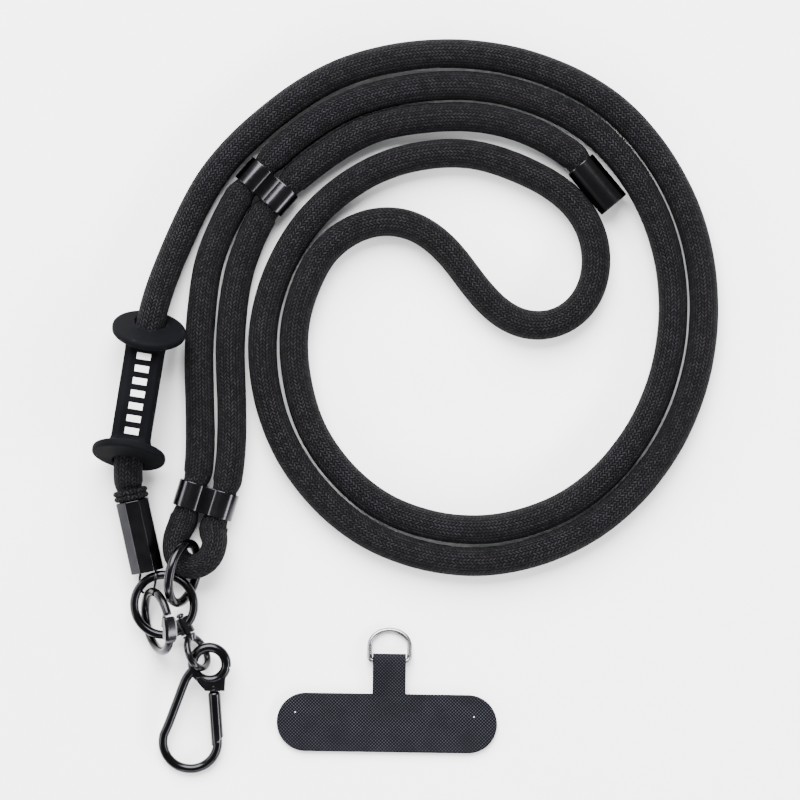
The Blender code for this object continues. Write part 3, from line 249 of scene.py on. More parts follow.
class Graph:
    """A material's node tree, with short calls that add a node and return its output."""

    def __init__(self, name: str) -> None:
        """Starts a new material.

        Args:
            name: the material's name.
        """
        self.material = bpy.data.materials.new(name)
        self.material.use_nodes = True
        self.tree = self.material.node_tree
        self.shader = self.tree.nodes["Principled BSDF"]

    def feed(self, socket: bpy.types.NodeSocket, value: object) -> None:
        """Links or sets one input.

        Args:
            socket: the input.
            value: another node's output, or a constant.
        """
        if isinstance(value, bpy.types.NodeSocket):
            self.tree.links.new(value, socket)
        else:
            socket.default_value = value

    def node(self, kind: str, inputs: Optional[dict] = None, **settings: object) -> bpy.types.Node:
        """Adds a node.

        Args:
            kind: the node's type name.
            inputs: values of its inputs by name or place.
            settings: its attributes.

        Returns:
            The node.
        """
        made = self.tree.nodes.new(kind)
        for key, value in settings.items():
            setattr(made, key, value)
        for key, value in (inputs or {}).items():
            self.feed(made.inputs[key], value)
        return made

    def math(self, operation: str, *values: object) -> bpy.types.NodeSocket:
        """Adds a sum of one to three values.

        Args:
            operation: the Math node's operation.
            values: outputs or numbers.

        Returns:
            Its result.
        """
        return self.node("ShaderNodeMath", dict(enumerate(values)), operation=operation).outputs[0]

    def colour(self, share: object, low: object, high: object) -> bpy.types.NodeSocket:
        """Mixes two colours.

        Args:
            share: how much of the second.
            low: first colour or output.
            high: second colour or output.

        Returns:
            The mixed colour.
        """
        ends = [(*one, 1.0) if isinstance(one, tuple) else one for one in (low, high)]
        made = self.node("ShaderNodeMix", {0: share, 6: ends[0], 7: ends[1]}, data_type="RGBA")
        return made.outputs[2]

    def span(self, value: object, low: float, high: float, to_low: float, to_high: float) -> bpy.types.NodeSocket:
        """Maps a value from one range to another, held at its ends.

        Args:
            value: the output to map.
            low: start of its range.
            high: end of its range.
            to_low: result at the start.
            to_high: result at the end.

        Returns:
            The mapped value.
        """
        return self.node(
            "ShaderNodeMapRange", {0: value, 1: low, 2: high, 3: to_low, 4: to_high}, clamp=True
        ).outputs[0]

    def noise(self, scale: float, detail: float = 3.0, vector: object = None) -> bpy.types.NodeSocket:
        """Adds noise in object space.

        Args:
            scale: waves a metre.
            detail: octaves.
            vector: where it is read, if not in object space.

        Returns:
            Its value from 0 to 1.
        """
        if vector is None:
            vector = self.place()
        return self.node("ShaderNodeTexNoise", {"Vector": vector, "Scale": scale, "Detail": detail}).outputs["Fac"]

    def place(self) -> bpy.types.NodeSocket:
        """Returns:
            The point in object space.
        """
        return self.node("ShaderNodeTexCoord").outputs["Object"]

    def edges(self, low: float = 0.5, high: float = 0.62) -> bpy.types.NodeSocket:
        """Args:
            low: pointiness where wear starts.
            high: pointiness of full wear.

        Returns:
            How much a point is on an outer edge, 0 to 1.
        """
        return self.span(self.node("ShaderNodeNewGeometry").outputs["Pointiness"], low, high, 0.0, 1.0)

    def bump(self, height: object, distance: float, strength: float = 1.0) -> None:
        """Adds relief to what is there.

        Args:
            height: its height, 0 to 1.
            distance: that height in metres.
            strength: its weight.
        """
        made = self.node("ShaderNodeBump", {"Height": height, "Distance": distance, "Strength": strength})
        socket = self.shader.inputs["Normal"]
        if socket.is_linked:
            self.tree.links.new(socket.links[0].from_socket, made.inputs["Normal"])
        self.tree.links.new(made.outputs[0], socket)

    def finish(self, **values: object) -> bpy.types.Material:
        """Sets the shader's inputs.

        Args:
            values: inputs by name, with _ for a space.

        Returns:
            The material.
        """
        for key, value in values.items():
            self.feed(self.shader.inputs[key.replace("_", " ")], value)
        return self.material


@dataclass(frozen=True)
class Finish:
    """A named finish; its material is made once."""

    name: str
    slot: Optional[str]

    def material(self) -> bpy.types.Material:
        """Returns:
            The finish's material.
        """
        return bpy.data.materials.get(self.name) or self.make(Graph(self.name))

    def make(self, graph: Graph) -> bpy.types.Material:
        """Fills the graph.

        Args:
            graph: the new material's graph.

        Returns:
            Its material.
        """
        raise NotImplementedError


@dataclass(frozen=True)
class BraidFinish(Finish):
    """Round braid: columns of V-shaped stitches read from the piece's UV map."""

    dark: Rgb
    light: Rgb
    slope: float = 0.95
    relief: float = 0.00030

    def make(self, graph: Graph) -> bpy.types.Material:
        """Builds the stitches' height, colour and fibres; the colour follows the height, as a painted highlight on the
        yarn tips and painted shade between stitches.

        Args:
            graph: the new material's graph.

        Returns:
            Its material.
        """
        uv = graph.node("ShaderNodeUVMap", uv_map="braid").outputs[0]
        split = graph.node("ShaderNodeSeparateXYZ", {0: uv})
        u, v = split.outputs[0], split.outputs[1]
        wander = graph.math("SUBTRACT", graph.noise(240.0, 2.0), 0.5)
        across = graph.math("ABSOLUTE", graph.math("SUBTRACT", graph.math("FRACT", u), 0.5))
        across = graph.math("MULTIPLY", across, 2.0)
        stagger = graph.math("MULTIPLY", graph.math("FLOOR", u), 0.5)
        phase = graph.math("MULTIPLY_ADD", across, self.slope, v)
        phase = graph.math("ADD", phase, stagger)
        phase = graph.math("MULTIPLY_ADD", wander, 0.45, phase)
        wave = graph.math("ABSOLUTE", graph.math("SINE", graph.math("MULTIPLY", phase, math.pi)))
        yarn = graph.math("POWER", wave, 0.6)
        middle = graph.span(across, 0.0, 0.22, 0.45, 1.0)
        border = graph.span(across, 0.78, 1.0, 1.0, 0.35)
        height = graph.math("MULTIPLY", graph.math("MULTIPLY", yarn, middle), border)
        fibre_place = graph.node(
            "ShaderNodeCombineXYZ", {0: graph.math("MULTIPLY", u, 1.4), 1: graph.math("MULTIPLY", phase, 5.0)}
        ).outputs[0]
        fibre = graph.noise(2.2, 4.0, fibre_place)
        stitch_place = graph.node(
            "ShaderNodeCombineXYZ",
            {0: graph.math("FLOOR", graph.math("MULTIPLY", u, 2.0)), 1: graph.math("FLOOR", phase)},
        ).outputs[0]
        stitch = graph.node("ShaderNodeTexWhiteNoise", {"Vector": stitch_place}, noise_dimensions="3D")
        stitch = stitch.outputs["Value"]
        speck = graph.span(graph.noise(2600.0, 1.0), 0.66, 0.78, 0.0, 0.5)
        worn = graph.noise(70.0, 2.0)
        # Colour follows the stitches' height: lighter on the yarn tips as a painted highlight, near black at the
        # column borders and between stitches as painted shade.
        share = graph.math(
            "MULTIPLY", graph.span(height, 0.50, 1.0, 0.0, 0.95), graph.span(fibre, 0.3, 0.7, 0.55, 1.1)
        )
        share = graph.math("MULTIPLY", share, graph.span(worn, 0.3, 0.7, 0.92, 1.04))
        share = graph.math("MULTIPLY", share, graph.span(stitch, 0.0, 1.0, 0.35, 1.0))
        share = graph.math("ADD", share, graph.math("MULTIPLY", speck, 0.35))
        graph.bump(fibre, 0.00006, 0.7)
        graph.bump(height, self.relief)
        return graph.finish(
            Base_Color=graph.colour(share, self.dark, self.light),
            Roughness=graph.span(fibre, 0.2, 0.8, 0.62, 0.86),
            Specular_IOR_Level=0.04,
            Sheen_Weight=0.004,
            Sheen_Roughness=0.5,
        )


@dataclass(frozen=True)
class NickelFinish(Finish):
    """Plated, polished metal with worn edges, faint smears and fine scratches."""

    body: Rgb
    worn: Rgb
    roughness: float

    def make(self, graph: Graph) -> bpy.types.Material:
        """Builds the plating's colour, polish and scratches.

        Args:
            graph: the new material's graph.

        Returns:
            Its material.
        """
        smear = graph.noise(160.0, 3.0)
        grain = graph.noise(2400.0, 2.0)
        stretched = graph.node("ShaderNodeMapping", {"Vector": graph.place(), "Scale": (9.0, 1.0, 4.0)}).outputs[0]
        scratch = graph.span(graph.noise(900.0, 2.0, stretched), 0.60, 0.72, 0.0, 1.0)
        edge = graph.math("MULTIPLY", graph.edges(), graph.span(smear, 0.3, 0.6, 0.4, 1.0))
        share = graph.math("ADD", graph.math("MULTIPLY", edge, 0.75), graph.math("MULTIPLY", scratch, 0.10))
        rough = graph.math("ADD", graph.span(smear, 0.3, 0.7, self.roughness * 0.9, self.roughness * 1.15),
                           graph.math("MULTIPLY", scratch, 0.06))
        graph.bump(grain, 0.000001, 0.4)
        graph.bump(smear, 0.000001, 0.1)
        return graph.finish(
            Base_Color=graph.colour(share, self.body, self.worn), Metallic=1.0, Roughness=rough,
        )


@dataclass(frozen=True)
class SiliconeFinish(Finish):
    """Matt moulded silicone whose edges are lightened as a painted highlight, with a little dust."""

    body: Rgb
    dust_and_rim_highlight: Rgb

    def make(self, graph: Graph) -> bpy.types.Material:
        """Builds the silicone's colour, dust and grain.

        Args:
            graph: the new material's graph.

        Returns:
            Its material.
        """
        cloud = graph.noise(90.0, 3.0)
        dust = graph.span(graph.noise(1900.0, 1.0), 0.70, 0.78, 0.0, 0.5)
        # Edges are lighter as a painted highlight along the rims; the clouds and dust added below are the rubber's own
        # tone.
        share = graph.math("MULTIPLY", graph.edges(0.5, 0.60), 0.7)
        share = graph.math("ADD", share, graph.math("MULTIPLY", graph.span(cloud, 0.3, 0.7, 0.0, 0.25), 1.0))
        share = graph.math("ADD", share, graph.math("MULTIPLY", dust, 0.35))
        graph.bump(graph.noise(3200.0, 2.0), 0.000012, 0.8)
        return graph.finish(
            Base_Color=graph.colour(share, self.body, self.dust_and_rim_highlight),
            Roughness=graph.span(cloud, 0.3, 0.7, 0.62, 0.74),
            Specular_IOR_Level=0.02,
            Sheen_Weight=0.001,
        )


@dataclass(frozen=True)
class WeaveFinish(Finish):
    """Fine cloth with a lattice of diagonal threads, and two pinholes that show the ground."""

    dark: Rgb
    light: Rgb
    rib: float

    def make(self, graph: Graph) -> bpy.types.Material:
        """Builds the threads, with a painted highlight on their tops and painted shade between them.

        Args:
            graph: the new material's graph.

        Returns:
            Its material.
        """
        split = graph.node("ShaderNodeSeparateXYZ", {0: graph.place()})
        x, y = split.outputs[0], split.outputs[1]
        turns = math.pi / self.rib
        up_thread = graph.math("ABSOLUTE", graph.math("SINE", graph.math("MULTIPLY", graph.math("ADD", x, y), turns)))
        down = graph.math("MULTIPLY", graph.math("SUBTRACT", x, y), turns)
        down_thread = graph.math("ABSOLUTE", graph.math("SINE", down))
        height = graph.math("SUBTRACT", 1.0, graph.math("MULTIPLY", graph.math("ADD", up_thread, down_thread), 0.5))
        height = graph.span(height, 0.32, 0.90, 0.0, 1.0)
        cloud = graph.noise(140.0, 3.0)
        fuzz = graph.noise(3000.0, 2.0)
        # Colour follows the threads' height: lighter on the raised threads as a painted highlight, near black in the
        # cells between them as painted shade.
        share = graph.math("MULTIPLY", height, graph.span(cloud, 0.3, 0.7, 0.6, 1.1))
        share = graph.math("MULTIPLY", share, graph.span(fuzz, 0.3, 0.7, 0.7, 1.15))
        cloth = graph.colour(share, self.dark, self.light)
        for hole in PINHOLES:
            away = graph.node("ShaderNodeVectorMath", {0: graph.place(), 1: hole}, operation="DISTANCE")
            away = away.outputs["Value"]
            cloth = graph.colour(graph.span(away, 0.00014, 0.00022, 1.0, 0.0), cloth, (0.7, 0.7, 0.7))
        graph.bump(fuzz, 0.00003, 0.5)
        graph.bump(height, 0.00011)
        return graph.finish(
            Base_Color=cloth,
            Roughness=graph.span(cloud, 0.3, 0.7, 0.70, 0.86),
            Specular_IOR_Level=0.05,
            Sheen_Weight=0.004,
        )


@dataclass(frozen=True)
class PaintFinish(Finish):
    """Plain paint, print or floor: one colour with faint clouds and grain."""

    low: Rgb
    high: Rgb
    roughness: float
    grain: float = 0.00001

    def make(self, graph: Graph) -> bpy.types.Material:
        """Builds the clouds and the grain.

        Args:
            graph: the new material's graph.

        Returns:
            Its material.
        """
        cloud = graph.noise(40.0, 3.0)
        graph.bump(graph.noise(2500.0, 2.0), self.grain, 0.6)
        return graph.finish(
            Base_Color=graph.colour(graph.span(cloud, 0.3, 0.7, 0.0, 1.0), self.low, self.high),
            Roughness=graph.span(cloud, 0.3, 0.7, self.roughness, self.roughness + 0.1),
        )


BRAID = BraidFinish("braided_yarn", "braid", (0.0002, 0.0002, 0.0003), (0.0215, 0.0200, 0.0233))
BLACK_NICKEL = NickelFinish("dark_plating", "black_nickel", (0.0125, 0.0125, 0.0138), (0.062, 0.062, 0.068), 0.19)
GUNMETAL = NickelFinish("bright_plating", "gunmetal", (0.15, 0.15, 0.16), (0.36, 0.36, 0.37), 0.20)
SILICONE = SiliconeFinish("matt_silicone", "silicone", (0.0011, 0.0012, 0.0016), (0.0070, 0.0073, 0.0088))
WEAVE = WeaveFinish("twill", "weave", (0.0003, 0.0003, 0.0006), (0.044, 0.045, 0.060), 0.0010)
PRINT = PaintFinish("white_print", None, (0.62, 0.62, 0.63), (0.74, 0.74, 0.75), 0.55)
FLOOR = PaintFinish("floor", None, (0.94, 0.94, 0.942), (0.96, 0.96, 0.96), 0.6, 0.000004)


def heading(angle: float) -> Vector:
    """Args:
        angle: from +X in the ground plane.

    Returns:
        The unit vector there.
    """
    return Vector((math.cos(angle), math.sin(angle), 0.0))


def placed(origin: Vector, along: Vector, up: Vector = UP) -> Matrix:
    """Makes a frame.

    Args:
        origin: its place.
        along: direction of local X.
        up: what local Z is nearest to.

    Returns:
        The matrix.
    """
    x = along.normalized()
    y = up.cross(x).normalized()
    return Matrix.Translation(origin) @ Matrix((x, y, x.cross(y))).transposed().to_4x4()


def smooth_between(a: Vector, b: Vector, c: Vector, d: Vector, share: float) -> Vector:
    """Reads the centripetal spline through four points.

    Args:
        a: the point before.
        b: start of the stretch.
        c: end of the stretch.
        d: the point after.
        share: how far from b to c.

    Returns:
        The point there.
    """
    knots = [0.0]
    for one, two in ((a, b), (b, c), (c, d)):
        knots.append(knots[-1] + math.sqrt((two - one).length))
    t0, t1, t2, t3 = knots
    t = t1 + share * (t2 - t1)
    a1 = a.lerp(b, (t - t0) / (t1 - t0))
    a2 = b.lerp(c, (t - t1) / (t2 - t1))
    a3 = c.lerp(d, (t - t2) / (t3 - t2))
    return a1.lerp(a2, (t - t0) / (t2 - t0)).lerp(a2.lerp(a3, (t - t1) / (t3 - t1)), (t - t1) / (t2 - t1))


def read_spline(rows: Sequence[Row], longest: float, floor: bool = True) -> list[Row]:
    """Reads a smooth line through rows of point and radius.

    Args:
        rows: the rows.
        longest: longest step of the result.
        floor: keep each point at least its radius above the ground.

    Returns:
        The finer rows.
    """
    points = [point for point, _ in rows]
    ends = [2 * points[0] - points[1], *points, 2 * points[-1] - points[-2]]
    read = []
    for i in range(len(points) - 1):
        parts = max(1, math.ceil((points[i + 1] - points[i]).length / longest))
        for part in range(parts):
            share = part / parts
            radius = rows[i][1] + share * (rows[i + 1][1] - rows[i][1])
            point = smooth_between(*ends[i:i + 4], share)
            if floor:
                point.z = max(point.z, radius)
            read.append((point, radius))
    return [*read, rows[-1]]


def eased(outline: Sequence[Sequence[float]], ease: float) -> list[tuple[float, float]]:
    """Moves an outline inward.

    Args:
        outline: x, y corners, counter-clockwise.
        ease: how far.

    Returns:
        The smaller outline.
    """
    moved = []
    for i, corner in enumerate(outline):
        before = Vector(corner) - Vector(outline[i - 1])
        after = Vector(outline[(i + 1) % len(outline)]) - Vector(corner)
        normals = [Vector((-side.y, side.x)).normalized() for side in (before, after)]
        out = (normals[0] + normals[1]).normalized()
        moved.append(tuple(Vector(corner) + out * ease / max(0.5, out.dot(normals[0]))))
    return moved


def arc(
    middle: Vector, one: Vector, other: Vector, radius: float, start: float, stop: float, steps: int,
) -> list[Vector]:
    """Points on a circle.

    Args:
        middle: its centre.
        one: unit direction at 0 degrees.
        other: unit direction at 90 degrees.
        radius: its radius.
        start: first angle in degrees.
        stop: last angle in degrees.
        steps: number of steps.

    Returns:
        The points, both ends among them.
    """
    turns = [math.radians(start + (stop - start) * k / steps) for k in range(steps + 1)]
    return [middle + radius * (math.cos(turn) * one + math.sin(turn) * other) for turn in turns]


class Shape:
    """A mesh in the making, with the bars, turned bodies and prisms that the hardware is made of."""

    def __init__(self) -> None:
        """Starts empty."""
        self.bm = bmesh.new()

    def loop(self, places: Iterable[Vector]) -> list[bmesh.types.BMVert]:
        """Args:
            places: points of a ring.

        Returns:
            Its new vertices.
        """
        return [self.bm.verts.new(place) for place in places]

    def skin(self, one: Sequence[bmesh.types.BMVert], two: Sequence[bmesh.types.BMVert], shift: int = 0) -> None:
        """Joins two rings with faces.

        Args:
            one: first ring.
            two: second ring, as long as the first.
            shift: places to turn the second.
        """
        count = len(one)
        for k in range(count):
            n = (k + 1) % count
            self.bm.faces.new((one[k], one[n], two[(n + shift) % count], two[(k + shift) % count]))

    def fill(self, *rings: Sequence[bmesh.types.BMVert]) -> None:
        """Fills one ring, or the ground between an outer ring and its holes.

        Args:
            rings: the rings.
        """
        if len(rings) == 1:
            self.bm.faces.new(rings[0])
            return
        edges = [
            self.bm.edges.get((ring[k - 1], ring[k])) or self.bm.edges.new((ring[k - 1], ring[k]))
            for ring in rings for k in range(len(ring))
        ]
        bmesh.ops.triangle_fill(self.bm, use_beauty=True, use_dissolve=False, edges=edges)

    def sweep(
        self, points: Sequence[Vector], radii: Sequence[float], sides: int = 24, closed: bool = False,
        cuts: Sequence[Optional[tuple[Vector, Vector]]] = (None, None), square: Optional[Vector] = None,
    ) -> None:
        """A round bar through points.

        Args:
            points: its middle line.
            radii: its radius at each.
            sides: sides of its section.
            closed: joins its end to its start.
            cuts: planes, as point and normal, that its first and last faces lie in.
            square: a direction that the section's first side faces, for a bar that must not turn.
        """
        count = len(points)
        tangents = []
        for i in range(count):
            before = points[(i - 1) % count] if closed or i else points[i]
            after = points[(i + 1) % count] if closed or i < count - 1 else points[i]
            tangents.append((after - before).normalized())
        side = tangents[0].cross(square or UP)
        if side.length < 0.1:
            side = tangents[0].cross(Vector((0, 1, 0)))
        rings = []
        for i, (point, tangent, radius) in enumerate(zip(points, tangents, radii)):
            side = (side - tangent * side.dot(tangent)).normalized()
            other = tangent.cross(side)
            ring = [
                point + radius * (math.cos(turn) * side + math.sin(turn) * other)
                for turn in (2 * math.pi * (k + 0.5) / sides for k in range(sides))
            ]
            cut = cuts[0] if i == 0 else cuts[1] if i == count - 1 else None
            if cut:
                ring = [place + tangent * ((cut[0] - place).dot(cut[1]) / tangent.dot(cut[1])) for place in ring]
            rings.append(self.loop(ring))
        for one, two in zip(rings, rings[1:]):
            self.skin(one, two)
        if closed:
            shift = min(
                range(sides),
                key=lambda s: sum((rings[-1][k].co - rings[0][(k + s) % sides].co).length for k in range(sides)),
            )
            self.skin(rings[-1], rings[0], shift)
        else:
            self.fill(rings[0])
            self.fill(rings[-1])

    def turned(
        self, profile: Sequence[tuple[float, float]], matrix: Matrix, sides: int = 64,
        lobes: Callable[[float, float], float] = lambda turn, radius: radius,
    ) -> None:
        """A body turned round local X.

        Args:
            profile: rows of x and radius that make a closed outline; radius 0 is on the axis.
            matrix: its frame.
            sides: sides of its section.
            lobes: gives the radius at a turn.
        """
        rings = []
        for x, radius in profile:
            if radius == 0:
                rings.append(self.loop([matrix @ Vector((x, 0, 0))]))
                continue
            rings.append(self.loop(
                matrix @ Vector((x, lobes(turn, radius) * math.cos(turn), lobes(turn, radius) * math.sin(turn)))
                for turn in (2 * math.pi * (k + 0.5) / sides for k in range(sides))
            ))
        for one, two in zip(rings, rings[1:] + rings[:1]):
            if len(one) == 1 and len(two) == 1:
                continue
            if len(one) > 1 and len(two) > 1:
                self.skin(one, two)
                continue
            tip, ring = (one, two) if len(one) == 1 else (two, one)
            for k in range(sides):
                self.bm.faces.new((tip[0], ring[k], ring[(k + 1) % sides]))

    def prism(
        self, outline: Sequence[Sequence[float]], low: float, high: float, matrix: Matrix, ease: float = 0.0
    ) -> None:
        """An outline pulled up.

        Args:
            outline: local x, y corners, counter-clockwise.
            low: local z where it starts.
            high: local z where it ends.
            matrix: its frame.
            ease: how far its edges are eased.
        """
        layers = [(low, 0.0), (high, 0.0)]
        if ease:
            layers = [(low, ease), (low + 0.3 * ease, 0.3 * ease), (low + ease, 0.0),
                      (high - ease, 0.0), (high - 0.3 * ease, 0.3 * ease), (high, ease)]
        rings = [
            self.loop(matrix @ Vector((x, y, z)) for x, y in (eased(outline, inset) if inset else outline))
            for z, inset in layers
        ]
        for one, two in zip(rings, rings[1:]):
            self.skin(one, two)
        self.fill(rings[0])
        self.fill(rings[-1])

    def through(self, rows: Sequence[tuple[float, list]], holes: Sequence[list], matrix: Matrix, blind: bool) -> None:
        """A block pulled along local X with holes into its first face, or through both.

        Args:
            rows: x and outline of y, z points, first to last.
            holes: for each hole its rows of x and outline, from the first face inward.
            matrix: its frame.
            blind: the holes end inside.
        """
        outer = [self.loop(matrix @ Vector((x, y, z)) for y, z in outline) for x, outline in rows]
        for one, two in zip(outer, outer[1:]):
            self.skin(one, two)
        inner = []
        for hole in holes:
            rings = [self.loop(matrix @ Vector((x, y, z)) for y, z in outline) for x, outline in hole]
            for one, two in zip(rings, rings[1:]):
                self.skin(one, two)
            inner.append(rings)
        self.fill(outer[0], *(rings[0] for rings in inner))
        if blind:
            for rings in inner:
                self.fill(rings[-1])
            self.fill(outer[-1])
        else:
            self.fill(outer[-1], *(rings[-1] for rings in inner))

    def mesh(self, name: str, sharp: float = 32.0) -> bpy.types.Object:
        """Ends the shape.

        Args:
            name: the object's name.
            sharp: angle in degrees from which an edge is sharp.

        Returns:
            The object, moved by SHIFT.
        """
        bmesh.ops.recalc_face_normals(self.bm, faces=self.bm.faces)
        bmesh.ops.translate(self.bm, verts=self.bm.verts, vec=SHIFT)
        mesh = bpy.data.meshes.new(name)
        self.bm.to_mesh(mesh)
        self.bm.free()
        mesh.shade_smooth()
        mesh.set_sharp_from_angle(angle=math.radians(sharp))
        obj = bpy.data.objects.new(name, mesh)
        bpy.context.scene.collection.objects.link(obj)
        return obj

    def piece(self, name: str, finish: Finish, body: Body, *nodes: str, bevel: float = 0.0) -> bpy.types.Object:
        """Ends the shape as a piece of the strap.

        Args:
            name: the piece's name.
            finish: its finish.
            body: what it rides on.
            nodes: CAD nodes that it stands for.
            bevel: width that its sharp edges are softened by.

        Returns:
            The piece.
        """
        obj = self.mesh(name)
        if bevel:
            soften(obj, bevel)
        even_shading(obj)
        return dress(obj, finish, body, *nodes)


def soften(obj: bpy.types.Object, width: float) -> None:
    """Softens an object's sharp edges.

    Args:
        obj: the object.
        width: the bevel's width.
    """
    step = obj.modifiers.new("soft_edges", "BEVEL")
    step.width = width
    step.segments = 3
    step.limit_method = "ANGLE"
    step.angle_limit = math.radians(35)
    step.use_clamp_overlap = True
    step.harden_normals = True


def even_shading(obj: bpy.types.Object) -> None:
    """Lets an object's large faces shade flat, so that its narrow eased edges carry the turn.

    Args:
        obj: the object.
    """
    step = obj.modifiers.new("even_shading", "WEIGHTED_NORMAL")
    step.keep_sharp = True
    step.weight = 80


def bake(obj: bpy.types.Object) -> None:
    """Applies an object's modifiers to its mesh.

    Args:
        obj: the object.
    """
    bpy.context.view_layer.update()
    seen = obj.evaluated_get(bpy.context.evaluated_depsgraph_get())
    mesh = bpy.data.meshes.new_from_object(seen)
    obj.modifiers.clear()
    obj.data = mesh


def combine(obj: bpy.types.Object, operation: str, *others: bpy.types.Object) -> None:
    """Joins or cuts an object with others, which are then removed.

    Args:
        obj: the object.
        operation: UNION or DIFFERENCE.
        others: the others.
    """
    for other in others:
        step = obj.modifiers.new("step", "BOOLEAN")
        step.operation = operation
        step.object = other
    bake(obj)
    for other in others:
        bpy.data.objects.remove(other)


def dress(obj: bpy.types.Object, finish: Finish, body: Body, *nodes: str) -> bpy.types.Object:
    """Gives a piece its finish and its body.

    Args:
        obj: the piece.
        finish: its finish.
        body: what it rides on.
        nodes: CAD nodes that it stands for.

    Returns:
        The piece.
    """
    obj.data.materials.clear()
    obj.data.materials.append(finish.material())
    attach(obj, body.value)
    if nodes:
        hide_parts(*nodes)
    LOG.info("%s: %d faces, rides on %s", obj.name, len(obj.data.polygons), body.value)
    return obj


def braid_uv(mesh: bpy.types.Mesh, places: Sequence[tuple[float, float]]) -> None:
    """Gives each face corner its place in the braid.

    Args:
        mesh: the mesh.
        places: u in columns and v in stitches, one for each face corner.
    """
    layer = mesh.uv_layers.new(name="braid")
    layer.data.foreach_set("uv", np.asarray(places, dtype=np.float32).ravel())


def end_cap_along() -> Vector:
    """Returns:
        Direction from the end cap's mouth to its closed end.
    """
    return heading(END_CAP_ANGLE) * math.cos(END_CAP_TIP) - Vector((0, 0, math.sin(END_CAP_TIP)))


def barrel_centre(centre: Vector, angle: float, side: int) -> Vector:
    """Args:
        centre: the slider's middle.
        angle: direction from its left barrel to its right one.
        side: -1 for the left barrel and 1 for the right.

    Returns:
        The barrel's middle.
    """
    return centre + side * BARREL_SPACING / 2 * heading(angle)


